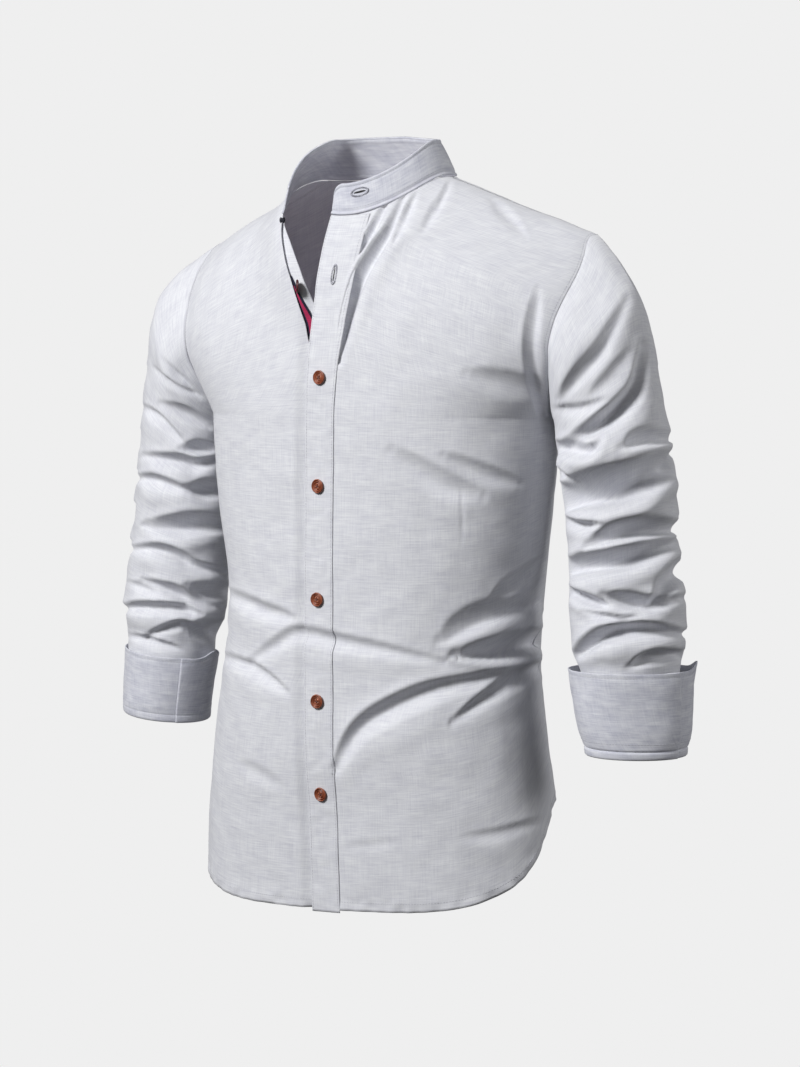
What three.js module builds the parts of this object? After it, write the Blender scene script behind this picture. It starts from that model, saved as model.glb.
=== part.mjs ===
// Shirt with a mandarin collar, as worn and hollow, its top two buttons open and its sleeves turned back.
// Millimetres. +Z is up and the front faces -Y. The origin is the middle of the neck, level with the
// points where the shoulder seams meet the collar. +X is the wearer's left.
import * as THREE from "three";

// Cloth walls
const WALL = 1.6;
const SEAM_GAP = 0.6;
const SHOULDER_GAP = 0.25;

// Shoulders and neck
const NECK_HALF_WIDTH = 75;
const SHOULDER_SLOPE = 0.39;
const SHOULDER_TIP_ANGLE = 22;
const UNDERARM_HEIGHT = -235;
const NECK_RIDGE = 30;
const NECK_DROP = 40;
const BACK_NECK_HEIGHT = 2;
const CAP_POWER = 2.2;

// Front edge, hem and closing
const PLACKET_HALF_WIDTH = 17;
const PLACKET_WALL = 1.8;
const PLACKET_GAP = 1;
const UNDERLAP_DEPTH = 4.2;
const HEM_SIDE_HEIGHT = -618;
const HEM_DROP = 101;
const HEM_TILT = 7;
const SIDE_SEAM_ANGLE = -20;
const SIDE_SEAM_GAP = 0.24;
const BUTTON_RADIUS = 7;
const BUTTON_DEPTH = 2.6;
const BUTTON_LIFT = 0.6;
const BUTTON_SIDES = 14;
const OPEN_BUTTON_HEIGHT = -109;
const OPEN_BUTTON_TURN = 50;

// Strips behind the open edge of the right front, measured from that edge
const STAND_STRIP = { from: -5, to: 14, behind: 6.2, foot: -214, head: -42, wall: 1.2, rows: 18 };
const FACING_STRIP = { from: -5, to: 8, behind: 3.4, foot: -205, head: -96, wall: 1, rows: 12 };

// Collar, cuffs and sleeve heads
const COLLAR_WALL = 2.2;
const COLLAR_LIFT = 1.5;
const NECK_MIDDLE_Y = 2;
const CUFF_WALL = 1.8;
const SLEEVE_HEAD = -150;
const RIGHT_HEAD_FULLNESS = 6;
const HEAD_FULLNESS_LENGTH = 36;

// Share of the back panel's width taken by half of the neck
const BACK_NECK_WIDTH = 0.4;

// Panel edge beside the placket
const LEFT_EDGE_X = PLACKET_HALF_WIDTH - 1.5;

// Grids. The panels' rows above the underarm match the columns of half a sleeve.
const LOW_ROWS = 26;
const HIGH_ROWS = 14;
const BODY_ROW_COUNT = LOW_ROWS + HIGH_ROWS + 1;
const LOW_SHARE = LOW_ROWS / (LOW_ROWS + HIGH_ROWS);
const NECK_SHARE = 0.86;
const BACK_HALF_COLUMNS = 9;
const PLACKET_COLS = 3;
const COLLAR_COLS = 33;
const COLLAR_RINGS = 4;
const SLEEVE_RINGS = 24;
const SLEEVE_COLS = 2 * HIGH_ROWS;
const FOLD_STEPS = 12;

// Shares of a front panel's width at which its columns lie, from the front edge to the side
const LEFT_COLUMNS = [0, 0.05, 0.1, 0.17, 0.25, 0.34, 0.44, 0.55, 0.66, 0.78, 0.89, 1];
const RIGHT_COLUMNS = [0, 0.055, 0.09, 0.16, 0.25, 0.35, 0.46, 0.58, 0.7, 0.85, 1];

// Colours
const CLOTH_COLOUR = "#dcdde2";
const FACING_COLOUR = "#a82a4f";
const BUTTON_COLOUR = "#7b4a36";
const BUTTON_HEIGHTS = [-197, -302, -411, -511, -604];

// Sections of the body below the underarm, from the hem up
const BODY_ROWS = [
  { height: -740, width: 204, front: 94, back: 98, middleX: -3, middleY: -2, power: 2.3 },
  { height: -640, width: 199, front: 98, back: 100, middleX: -3, middleY: -3, power: 2.3 },
  { height: -570, width: 187, front: 103, back: 102, middleX: -3, middleY: -4, power: 2.3 },
  { height: -500, width: 176, front: 106, back: 106, middleX: -3, middleY: -2, power: 2.3 },
  { height: -420, width: 171, front: 109, back: 106, middleX: 1, middleY: 1, power: 2.3 },
  { height: -340, width: 182, front: 108, back: 106, middleX: 0, middleY: 0, power: 2.3 },
  { height: -280, width: 189, front: 107, back: 106, middleX: 0, middleY: 0, power: 2.3 },
  { height: -235, width: 193, front: 106, back: 106, middleX: 0, middleY: 0, power: 2.3 },
];

// Width of the body surface above the underarm, by share of the way up to the shoulder line
const YOKE_ROWS = [
  { up: 0, width: 193 },
  { up: 0.1, width: 205 },
  { up: 0.2, width: 218 },
  { up: 0.35, width: 236 },
  { up: 0.5, width: 247 },
  { up: 0.75, width: 250 },
  { up: 1, width: 246 },
];

// Share of the front hem's drop by degrees from the side seam
const HEM_ROWS = [
  { fromSide: 0, drop: 0 },
  { fromSide: 12, drop: 0.08 },
  { fromSide: 20, drop: 0.28 },
  { fromSide: 27, drop: 0.49 },
  { fromSide: 40, drop: 0.72 },
  { fromSide: 60, drop: 0.9 },
  { fromSide: 80, drop: 0.98 },
  { fromSide: 105, drop: 1 },
];

// Rings of the left sleeve. The first is the armhole; lean is the ring's tilt from level in degrees.
const SLEEVE_ROWS = [
  { height: -150, x: 215, y: 25, lean: 79, across: 89.6, deep: 49 },
  { height: -165, x: 231, y: 17, lean: 69.5, across: 84, deep: 50.5 },
  { height: -185, x: 247, y: 9.5, lean: 60, across: 77.7, deep: 52 },
  { height: -225, x: 254, y: 12, lean: 45, across: 64, deep: 53 },
  { height: -265, x: 259.5, y: 14, lean: 33, across: 59, deep: 53.5 },
  { height: -305, x: 264.5, y: 14.5, lean: 24, across: 56, deep: 53.5 },
  { height: -350, x: 269, y: 15, lean: 17, across: 54.5, deep: 53 },
  { height: -398, x: 274, y: 13, lean: 12, across: 54.5, deep: 52.5 },
  { height: -448, x: 279, y: 11, lean: 8, across: 54.5, deep: 52.5 },
  { height: -472, x: 281, y: 10, lean: 5, across: 47.5, deep: 46.5 },
  { height: -498, x: 284, y: 9.5, lean: 2, across: 46, deep: 45.5 },
  { height: -545, x: 288.5, y: 8, lean: 0, across: 44, deep: 43.5 },
  { height: -557, x: 289, y: 8, lean: 0, across: 44, deep: 43.5 },
];

// Turned-back cuffs, from the fold up: long and short half widths, the long one towards the outer back
const CUFF_ROWS = {
  left: [
    { height: -549, long: 52, short: 47.5 },
    { height: -528, long: 55, short: 48.5 },
    { height: -500, long: 58, short: 49.5 },
    { height: -472, long: 60, short: 50.5 },
  ],
  right: [
    { height: -551, long: 50, short: 47 },
    { height: -530, long: 53, short: 48 },
    { height: -510, long: 54.5, short: 49 },
    { height: -490, long: 55, short: 50 },
  ],
};

// Front edge of the right front, thrown open above the first closed button: distance from the middle
const OPEN_EDGE_ROWS = [
  { height: -740, x: 12 },
  { height: -240, x: 12 },
  { height: -215, x: 9 },
  { height: -190, x: -3 },
  { height: -164, x: -18 },
  { height: -143, x: -25 },
  { height: -105, x: -42 },
  { height: -55, x: -67 },
  { height: -36, x: -75 },
];

// Neck seam of the right front by turn from the shoulder seam: distance from the middle and height
const RIGHT_NECK_ROWS = [
  { turn: 0, x: 75, height: 0 },
  { turn: 30, x: 78, height: -9 },
  { turn: 60, x: 79, height: -22 },
  { turn: 90, x: 75, height: -37 },
];

// Collar band: its top edge as steps in from the neck seam, and its height, from the left end round to the right
const COLLAR_ROWS = [
  { along: 0, inward: 3, tall: 27 },
  { along: 0.04, inward: 4, tall: 31 },
  { along: 0.2, inward: 9, tall: 34 },
  { along: 0.35, inward: 17, tall: 36 },
  { along: 0.6, inward: 15, tall: 42 },
  { along: 0.78, inward: 12, tall: 38 },
  { along: 0.96, inward: 8, tall: 32 },
  { along: 1, inward: 6, tall: 28 },
];

// Folds, drawn as bent lines on a plane that faces the named direction. Azimuth 0 faces the front
// and 90 the wearer's left; across runs to the right on that plane, up is height. Depth is inward.
const BODY_FOLDS = [
  { azimuth: 35, path: [[2, -37], [-36, -123], [-47, -222]], depth: 8, reach: 11 },
  { azimuth: 35, path: [[17, -32], [-17, -85], [-40, -142]], depth: 4, reach: 10 },
  { azimuth: 35, path: [[32, -28], [12, -50], [-4, -80]], depth: 3, reach: 8 },
  { azimuth: 35, path: [[67, -272], [100, -288], [140, -296]], depth: 7, reach: 12 },
  { azimuth: 35, path: [[20, -280], [60, -302], [95, -315]], depth: 4, reach: 14 },
  { azimuth: 35, path: [[158, -200], [148, -250], [152, -300]], depth: 5, reach: 14 },
  { azimuth: 35, path: [[66, -402], [100, -410], [150, -415]], depth: 6, reach: 12 },
  { azimuth: 35, path: [[-50, -452], [-10, -457], [40, -470]], depth: 6, reach: 12 },
  { azimuth: 35, path: [[78, -462], [115, -452], [160, -445]], depth: 11, reach: 14 },
  { azimuth: 35, path: [[-38, -555], [12, -505], [95, -478]], depth: 13, reach: 15 },
  { azimuth: 35, path: [[95, -478], [125, -474], [158, -472]], depth: 9, reach: 12 },
  { azimuth: 35, path: [[66, -515], [95, -498], [140, -482]], depth: 8, reach: 11 },
  { azimuth: 35, path: [[62, -636], [100, -634], [150, -624]], depth: 5, reach: 16 },
  { azimuth: 35, path: [[-152, -415], [-122, -428], [-94, -434]], depth: 5, reach: 12 },
  { azimuth: 35, path: [[-158, -480], [-128, -490], [-98, -500]], depth: 6, reach: 13 },
  { azimuth: 35, path: [[-130, -475], [-95, -455], [-60, -450]], depth: 5, reach: 12 },
  { azimuth: 35, path: [[-138, -592], [-118, -600], [-90, -612]], depth: 4, reach: 14 },
  { azimuth: 180, path: [[-60, -45], [-95, -130], [-120, -210]], depth: 6, reach: 18 },
  { azimuth: 180, path: [[60, -45], [95, -130], [118, -210]], depth: 6, reach: 18 },
  { azimuth: 180, path: [[-160, -440], [-70, -468], [10, -460]], depth: 8, reach: 16 },
  { azimuth: 180, path: [[160, -455], [80, -490], [-5, -520]], depth: 9, reach: 17 },
  { azimuth: 180, path: [[-150, -500], [-90, -530], [-45, -580]], depth: 7, reach: 16 },
  { azimuth: 180, path: [[155, -545], [100, -580], [70, -635]], depth: 6, reach: 16 },
  { azimuth: 180, path: [[-155, -280], [-110, -310], [-60, -318]], depth: 5, reach: 15 },
  { azimuth: 180, path: [[155, -285], [115, -310], [75, -325]], depth: 5, reach: 15 },
];
const LEFT_SLEEVE_FOLDS = [
  { azimuth: 35, path: [[222, -135], [200, -172], [168, -212]], depth: 6, reach: 9 },
  { azimuth: 35, path: [[236, -200], [219, -232], [186, -252]], depth: 8, reach: 10 },
  { azimuth: 35, path: [[165, -258], [185, -266], [200, -262]], depth: 6, reach: 7 },
  { azimuth: 35, path: [[172, -305], [215, -280], [277, -271]], depth: 12, reach: 13 },
  { azimuth: 35, path: [[277, -271], [262, -290], [240, -312]], depth: 9, reach: 11 },
  { azimuth: 35, path: [[204, -350], [240, -333], [280, -336]], depth: 9, reach: 11 },
  { azimuth: 35, path: [[175, -370], [210, -360], [268, -357]], depth: 11, reach: 12 },
  { azimuth: 35, path: [[204, -405], [235, -408], [272, -402]], depth: 10, reach: 11 },
  { azimuth: 35, path: [[185, -450], [215, -437], [284, -436]], depth: 11, reach: 12 },
  { azimuth: 35, path: [[240, -472], [260, -464], [288, -462]], depth: 7, reach: 11 },
  { azimuth: 180, path: [[-330, -215], [-280, -240], [-230, -235]], depth: 7, reach: 14 },
  { azimuth: 180, path: [[-325, -310], [-280, -325], [-225, -310]], depth: 9, reach: 14 },
  { azimuth: 180, path: [[-330, -385], [-270, -372], [-225, -385]], depth: 9, reach: 14 },
  { azimuth: 180, path: [[-330, -440], [-280, -452], [-230, -440]], depth: 8, reach: 13 },
];
const RIGHT_SLEEVE_FOLDS = [
  { azimuth: 35, path: [[-252, -196], [-233, -218], [-195, -233]], depth: 6, reach: 11 },
  { azimuth: 35, path: [[-253, -229], [-233, -243], [-211, -268]], depth: 5, reach: 10 },
  { azimuth: 35, path: [[-250, -282], [-211, -286], [-175, -285]], depth: 8, reach: 11 },
  { azimuth: 35, path: [[-256, -301], [-220, -314], [-172, -299]], depth: 8, reach: 11 },
  { azimuth: 35, path: [[-234, -359], [-206, -345], [-167, -337]], depth: 9, reach: 12 },
  { azimuth: 35, path: [[-263, -373], [-206, -387], [-172, -400]], depth: 8, reach: 11 },
  { azimuth: 35, path: [[-248, -412], [-217, -420], [-178, -440]], depth: 8, reach: 12 },
  { azimuth: 35, path: [[-272, -443], [-234, -440], [-198, -448]], depth: 7, reach: 11 },
  { azimuth: 35, path: [[-270, -472], [-240, -480], [-200, -470]], depth: 6, reach: 10 },
  { azimuth: 180, path: [[330, -225], [280, -245], [230, -240]], depth: 7, reach: 14 },
  { azimuth: 180, path: [[325, -300], [280, -318], [225, -305]], depth: 9, reach: 14 },
  { azimuth: 180, path: [[330, -380], [270, -368], [225, -380]], depth: 9, reach: 14 },
  { azimuth: 180, path: [[330, -445], [280, -458], [230, -446]], depth: 8, reach: 13 },
];

const rad = (degrees) => (degrees * Math.PI) / 180;
const mix = (from, to, share) => from + (to - from) * share;
const clamp = (value, low, high) => Math.min(high, Math.max(low, value));
const smooth = (low, high, value) => {
  const share = clamp((value - low) / (high - low), 0, 1);
  return share * share * (3 - 2 * share);
};
const signedPower = (value, power) => Math.sign(value) * Math.abs(value) ** power;

// Value of one named column, eased between the rows of a table sorted by its key
function tableValue(rows, key, column, at) {
  const last = rows.length - 1;
  if (at <= rows[0][key]) return rows[0][column];
  if (at >= rows[last][key]) return rows[last][column];
  const i = rows.findIndex((row, index) => index < last && at < rows[index + 1][key]);
  const slope = (j) => {
    const a = rows[Math.max(j - 1, 0)];
    const b = rows[Math.min(j + 1, last)];
    return (b[column] - a[column]) / (b[key] - a[key]);
  };
  const gap = rows[i + 1][key] - rows[i][key];
  const s = (at - rows[i][key]) / gap;
  const start = (1 + 2 * s) * (1 - s) ** 2 * rows[i][column] + s * (1 - s) ** 2 * gap * slope(i);
  return start + s * s * (3 - 2 * s) * rows[i + 1][column] + s * s * (s - 1) * gap * slope(i + 1);
}

const SLEEVE_TABLE = [...SLEEVE_ROWS].reverse();

// Height of the line on which front and back meet over the shoulder, by distance from the middle
function shoulderLine(x) {
  const out = Math.abs(x);
  if (out >= NECK_HALF_WIDTH) return -(out - NECK_HALF_WIDTH) * SHOULDER_SLOPE;
  return NECK_RIDGE * (1 - (out / NECK_HALF_WIDTH) ** 1.5);
}

// Point of the body surface. Angle 0 is the wearer's left side, 90 the front and -90 the back.
// Rise is height below the underarm when negative, and from 0 to 1 the way up to the shoulder line.
function bodyPoint(angle, rise) {
  const c = Math.cos(rad(angle));
  const s = Math.sin(rad(angle));
  const height = rise < 0 ? UNDERARM_HEIGHT + rise : UNDERARM_HEIGHT;
  const row = (column) => tableValue(BODY_ROWS, "height", column, height);
  const power = row("power");
  const depth = s > 0 ? row("front") : row("back");
  if (rise < 0) {
    const x = row("middleX") + row("width") * signedPower(c, 2 / power);
    const y = row("middleY") - depth * signedPower(s, 2 / power);
    return new THREE.Vector3(x, y, height);
  }
  const up = Math.sin((rise * Math.PI) / 2) ** (2 / CAP_POWER);
  const thin = Math.cos((Math.min(rise, 1) * Math.PI) / 2) ** (2 / CAP_POWER);
  const x = tableValue(YOKE_ROWS, "up", "width", up) * signedPower(c, 2 / power);
  const ridgeY = 10 + (20 * clamp(Math.abs(x) - NECK_HALF_WIDTH, 0, 154)) / 154;
  const y = ridgeY * up * up - depth * (1 - 0.1 * up) * thin * signedPower(s, 2 / power);
  return new THREE.Vector3(x, y, mix(UNDERARM_HEIGHT, shoulderLine(x), up));
}

// Angle and rise of the body surface point at a distance x from the middle and a height
function bodyPlace(x, height, isFront) {
  const side = isFront ? 1 : -1;
  let width;
  let rise;
  let middle = 0;
  if (height < UNDERARM_HEIGHT) {
    rise = height - UNDERARM_HEIGHT;
    width = tableValue(BODY_ROWS, "height", "width", height);
    middle = tableValue(BODY_ROWS, "height", "middleX", height);
  } else {
    const up = clamp((height - UNDERARM_HEIGHT) / (shoulderLine(x) - UNDERARM_HEIGHT), 0, 1);
    rise = (Math.asin(up ** (CAP_POWER / 2)) * 2) / Math.PI;
    width = tableValue(YOKE_ROWS, "up", "width", up);
  }
  const share = clamp((x - middle) / width, -1, 1);
  const cosine = signedPower(share, 1.15);
  return [side * (Math.acos(cosine) * 180) / Math.PI, rise];
}

// Armhole seam of the left side. Turn 0 is the underarm, 180 the shoulder tip, front before back.
function armholePlace(turn, isFront) {
  const up = (1 - Math.cos(rad(turn))) / 2;
  const rise = (Math.asin(up ** (CAP_POWER / 2)) * 2) / Math.PI;
  const bulge = Math.max(Math.sin(rad(turn)), 0);
  const seam = SIDE_SEAM_GAP * (1 - smooth(0, 30, turn));
  if (isFront) {
    const forward = 30 * bulge ** 0.7 * (1 - 0.8 * smooth(70, 150, turn));
    return [mix(SIDE_SEAM_ANGLE, SHOULDER_TIP_ANGLE, up) + forward + seam, rise];
  }
  return [mix(SIDE_SEAM_ANGLE, -SHOULDER_TIP_ANGLE, up) - 13 * bulge - seam, rise];
}

// Height of the hem, a curve from the short sides to the long front and back
function hemHeight(angle, isFront) {
  const fromSide = Math.min(Math.abs(angle - SIDE_SEAM_ANGLE), Math.abs(180 - SIDE_SEAM_ANGLE - angle));
  if (isFront) return HEM_SIDE_HEIGHT - HEM_DROP * tableValue(HEM_ROWS, "fromSide", "drop", fromSide);
  return HEM_SIDE_HEIGHT - HEM_DROP * smooth(0, 90, fromSide);
}

// Depth of all folds at a place, counted only where the surface faces their plane
function foldDepth(folds, point, normal) {
  let total = 0;
  for (const fold of folds) {
    const c = Math.cos(rad(fold.azimuth));
    const s = Math.sin(rad(fold.azimuth));
    const facing = smooth(-0.15, 0.2, normal.x * s - normal.y * c);
    if (facing === 0) continue;
    const across = point.x * c + point.y * s;
    total += facing * fold.depth * foldProfile(fold, across, point.z);
  }
  return total;
}

// Share of a fold's depth at a distance from its bent line, fading out at both ends
function foldProfile(fold, across, up) {
  let nearest = Infinity;
  let along = 0;
  for (let i = 0; i <= FOLD_STEPS; i += 1) {
    const u = i / FOLD_STEPS;
    const [a, b, c] = fold.path;
    const curveX = (1 - u) * (1 - 2 * u) * a[0] + 4 * u * (1 - u) * b[0] + u * (2 * u - 1) * c[0];
    const curveY = (1 - u) * (1 - 2 * u) * a[1] + 4 * u * (1 - u) * b[1] + u * (2 * u - 1) * c[1];
    const distance = Math.hypot(across - curveX, up - curveY);
    if (distance < nearest) {
      nearest = distance;
      along = u;
    }
  }
  const d = nearest / fold.reach;
  const trough = Math.exp(-d * d) - 0.35 * Math.exp(-((d - 1.9) ** 2) * 1.6);
  return trough * (0.35 + 0.65 * Math.sin(Math.PI * clamp(along, 0.02, 0.98)) ** 0.6);
}

// Outward directions of a grid of points, by rows and columns. A closed grid joins its last column to its first.
function gridNormals(grid, closed) {
  const rows = grid.length;
  const cols = grid[0].length;
  return grid.map((line, r) => line.map((_, c) => {
    const before = closed ? (c + cols - 1) % cols : Math.max(c - 1, 0);
    const after = closed ? (c + 1) % cols : Math.min(c + 1, cols - 1);
    const alongRow = line[after].clone().sub(line[before]);
    const alongColumn = grid[Math.min(r + 1, rows - 1)][c].clone().sub(grid[Math.max(r - 1, 0)][c]);
    return alongRow.cross(alongColumn).normalize();
  }));
}

// Pushes a grid inward along the fold lines. Strength is a share from 0 to 1 at each point.
function pressFolds(grid, folds, closed, strength = () => 1) {
  const normals = gridNormals(grid, closed);
  return grid.map((line, r) => line.map((point, c) => {
    const depth = strength(point, r) * foldDepth(folds, point, normals[r][c]);
    return point.clone().addScaledVector(normals[r][c], -depth);
  }));
}

// Directions of a body panel, level from front to back along the shoulder seam so that its walls meet squarely
function panelNormals(grid) {
  const normals = gridNormals(grid, false);
  normals[normals.length - 1].forEach((normal) => normal.setY(0).normalize());
  return normals;
}

// Closed wall between a grid of outer points and the same grid moved inward
function clothWall(grid, wall, closed, normals = gridNormals(grid, closed)) {
  const rows = grid.length;
  const cols = grid[0].length;
  const positions = [];
  for (const depth of [0, wall]) {
    for (let r = 0; r < rows; r += 1) {
      for (let c = 0; c < cols; c += 1) {
        const point = grid[r][c].clone().addScaledVector(normals[r][c], -depth);
        positions.push(point.x, point.y, point.z);
      }
    }
  }
  const outer = (r, c) => r * cols + (c % cols);
  const inner = (r, c) => rows * cols + outer(r, c);
  const faces = [];
  const quad = (a, b, c, d) => faces.push(a, b, c, a, c, d);
  const lastCol = closed ? cols : cols - 1;
  for (let r = 0; r < rows - 1; r += 1) {
    for (let c = 0; c < lastCol; c += 1) {
      quad(outer(r, c), outer(r, c + 1), outer(r + 1, c + 1), outer(r + 1, c));
      quad(inner(r, c), inner(r + 1, c), inner(r + 1, c + 1), inner(r, c + 1));
    }
  }
  for (let c = 0; c < lastCol; c += 1) {
    quad(inner(0, c), inner(0, c + 1), outer(0, c + 1), outer(0, c));
    quad(outer(rows - 1, c), outer(rows - 1, c + 1), inner(rows - 1, c + 1), inner(rows - 1, c));
  }
  if (!closed) {
    for (let r = 0; r < rows - 1; r += 1) {
      quad(outer(r, 0), outer(r + 1, 0), inner(r + 1, 0), inner(r, 0));
      quad(inner(r, cols - 1), inner(r + 1, cols - 1), outer(r + 1, cols - 1), outer(r, cols - 1));
    }
  }
  const geometry = new THREE.BufferGeometry();
  geometry.setAttribute("position", new THREE.Float32BufferAttribute(positions, 3));
  geometry.setIndex(faces);
  geometry.computeVertexNormals();
  return geometry;
}

// Side edge of a panel: the side seam up to the underarm, then the armhole
function sideEdge(share, isFront) {
  if (share < LOW_SHARE) {
    const height = mix(hemHeight(SIDE_SEAM_ANGLE, isFront), UNDERARM_HEIGHT, share / LOW_SHARE);
    return [SIDE_SEAM_ANGLE + (isFront ? SIDE_SEAM_GAP : -SIDE_SEAM_GAP), height - UNDERARM_HEIGHT];
  }
  return armholePlace((180 * (share - LOW_SHARE)) / (1 - LOW_SHARE), isFront);
}

// Distance from the middle and height of the neck seam. Turn 0 is the shoulder seam, 90 the middle front.
function frontNeck(turn) {
  const drop = NECK_DROP * Math.sin(rad(turn)) ** 1.4;
  return [NECK_HALF_WIDTH * Math.cos(rad(turn)), -drop];
}

const rightNeck = (turn) => ["x", "height"].map((column) => tableValue(RIGHT_NECK_ROWS, "turn", column, turn));

const leftNeckEnd = (Math.acos(LEFT_EDGE_X / NECK_HALF_WIDTH) * 180) / Math.PI;

function leftFrontEdge(share) {
  const foot = hemHeight(90, true);
  const [, neckHeight] = frontNeck(leftNeckEnd);
  if (share < NECK_SHARE) {
    const height = edgeHeight(share, foot, neckHeight);
    return bodyPlace(LEFT_EDGE_X, height, true);
  }
  const turn = (leftNeckEnd * (1 - share)) / (1 - NECK_SHARE);
  const [x, height] = frontNeck(turn);
  return bodyPlace(x, height, true);
}

// Height along a front edge, even below the underarm and even above it
function edgeHeight(share, foot, head) {
  if (share < LOW_SHARE) return mix(foot, UNDERARM_HEIGHT, share / LOW_SHARE);
  return mix(UNDERARM_HEIGHT, head, (share - LOW_SHARE) / (NECK_SHARE - LOW_SHARE));
}

function rightFrontEdge(share) {
  const foot = hemHeight(90, true);
  const head = rightNeck(90)[1];
  if (share < NECK_SHARE) {
    const height = edgeHeight(share, foot, head);
    return mirrorPlace(-tableValue(OPEN_EDGE_ROWS, "height", "x", height), height);
  }
  const [x, height] = rightNeck((90 * (1 - share)) / (1 - NECK_SHARE));
  return mirrorPlace(x, height);
}

// Place on the left half for a point given by its distance towards the wearer's right
const mirrorPlace = (x, height) => bodyPlace(x, height, true);

// Places of a front panel's grid, each row ruled from its front edge to its side edge
function frontPlaces(frontEdge, columns) {
  const places = [];
  for (let r = 0; r < BODY_ROW_COUNT; r += 1) {
    const share = r / (BODY_ROW_COUNT - 1);
    const inner = frontEdge(share);
    const outer = sideEdge(share, true);
    places.push(columns.map((u) => {
      const hem = hemHeight(mix(frontEdge(0)[0], outer[0], u), true) - UNDERARM_HEIGHT;
      const rise = share < LOW_SHARE ? mix(hem, 0, share / LOW_SHARE) : mix(inner[1], outer[1], u);
      return [mix(inner[0], outer[0], u), rise];
    }));
  }
  return places;
}

const mirrored = (point) => new THREE.Vector3(-point.x, point.y, point.z);

// Outward throw of the open right front, strongest at the collar end
function openThrow(point) {
  const edge = tableValue(OPEN_EDGE_ROWS, "height", "x", point.z);
  const high = smooth(-175, -40, point.z);
  const near = Math.exp(-(((point.x - edge) / 42) ** 2));
  return 18 * high * near * smooth(10, -30, point.y);
}

// The right front passes under the placket below the opening
function underlap(point) {
  return UNDERLAP_DEPTH * smooth(-PLACKET_HALF_WIDTH - 16, -PLACKET_HALF_WIDTH - 1, point.x);
}

// Point of the right front from the matching point of the left half
function rightFront(point) {
  const moved = mirrorBody(point);
  moved.y -= openThrow(moved) - underlap(moved);
  return moved;
}

// The hem hangs a little lower on the wearer's right
function tiltHem(point) {
  point.z += HEM_TILT * (point.x / 190) * smooth(-450, -620, point.z);
  return point;
}

// Outward direction of the body surface at a place
function bodyNormal(angle, rise) {
  const step = rise < 0 ? 1 : 0.01;
  const low = bodyPoint(angle, rise - step);
  const high = bodyPoint(angle, rise < 0 ? Math.min(rise + step, 0) : Math.min(rise + step, 1));
  const around = bodyPoint(angle + 1, rise).sub(bodyPoint(angle - 1, rise));
  return high.sub(low).cross(around).normalize();
}

// Points and outward directions of a panel from its places. Strength is how much its folds count there.
function bodyGrid(places, move, strength) {
  return places.map((line, r) => line.map(([angle, rise], c) => {
    const isLast = r === places.length - 1;
    const point = bodyPoint(angle, rise);
    point.y += isLast ? SHOULDER_GAP * (angle > 0 ? -1 : 1) : 0;
    const moved = tiltHem(move(point));
    const normal = bodyNormal(angle, isLast ? 0.99 : rise);
    if (moved.x * point.x < 0) normal.x *= -1;
    return moved.addScaledVector(normal, -strength(r, c) * foldDepth(BODY_FOLDS, moved, normal));
  }));
}

// Folds fade out at the armhole, where the sleeve's head holds the cloth
function armholeFade(share, fromEdge) {
  return 1 - smooth(LOW_SHARE - 0.05, LOW_SHARE + 0.04, share) * (1 - smooth(0, 0.2, fromEdge));
}

function leftFrontGrid() {
  const places = frontPlaces(leftFrontEdge, LEFT_COLUMNS);
  const fade = (r, c) => armholeFade(r / (BODY_ROW_COUNT - 1), 1 - LEFT_COLUMNS[c]);
  return bodyGrid(places, (point) => point, fade);
}

function rightFrontGrid() {
  const places = frontPlaces(rightFrontEdge, RIGHT_COLUMNS);
  const fade = (r, c) => armholeFade(r / (BODY_ROW_COUNT - 1), 1 - RIGHT_COLUMNS[c]);
  return bodyGrid(places, rightFront, fade).map((line) => line.reverse());
}

// Top edge of the left half of the back: from the middle along the neck seam, then the shoulder seam
function backTopEdge(share) {
  if (share <= BACK_NECK_WIDTH) {
    const x = NECK_HALF_WIDTH * Math.sin((Math.PI / 2) * (share / BACK_NECK_WIDTH));
    return bodyPlace(x, BACK_NECK_HEIGHT * (1 - x / NECK_HALF_WIDTH), false);
  }
  const [neckAngle] = bodyPlace(NECK_HALF_WIDTH, 0, false);
  return [mix(neckAngle, -SHOULDER_TIP_ANGLE, (share - BACK_NECK_WIDTH) / (1 - BACK_NECK_WIDTH)), 1];
}

function backPlace(share, along) {
  if (share < LOW_SHARE) {
    const angle = mix(-90, sideEdge(share, false)[0], along);
    const hem = hemHeight(angle, false) - UNDERARM_HEIGHT;
    return [angle, mix(hem, 0, share / LOW_SHARE)];
  }
  const up = (share - LOW_SHARE) / (1 - LOW_SHARE);
  const armhole = sideEdge(share, false);
  const top = backTopEdge(along);
  const middle = [-90, backTopEdge(0)[1] * up];
  const corner = backTopEdge(1);
  return [0, 1].map((k) => {
    const ruled = mix(backTopEdge(0)[k], corner[k], along);
    return mix(middle[k], armhole[k], along) + up * (top[k] - ruled);
  });
}

function backGrid() {
  const places = [];
  for (let r = 0; r < BODY_ROW_COUNT; r += 1) {
    const line = [];
    for (let c = 0; c <= BACK_HALF_COLUMNS; c += 1) {
      line.push(backPlace(r / (BODY_ROW_COUNT - 1), c / BACK_HALF_COLUMNS));
    }
    places.push(line);
  }
  const fade = (r, c) => armholeFade(r / (BODY_ROW_COUNT - 1), 1 - c / BACK_HALF_COLUMNS);
  const left = bodyGrid(places, (point) => point, fade);
  const right = bodyGrid(places, mirrorBody, fade);
  return left.map((line, r) => [...line.slice(1).reverse(), ...right[r]]);
}

function mirrorBody(point) {
  const middle = point.z < UNDERARM_HEIGHT ? tableValue(BODY_ROWS, "height", "middleX", point.z) : 0;
  return new THREE.Vector3(2 * middle - point.x, point.y, point.z);
}

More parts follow.
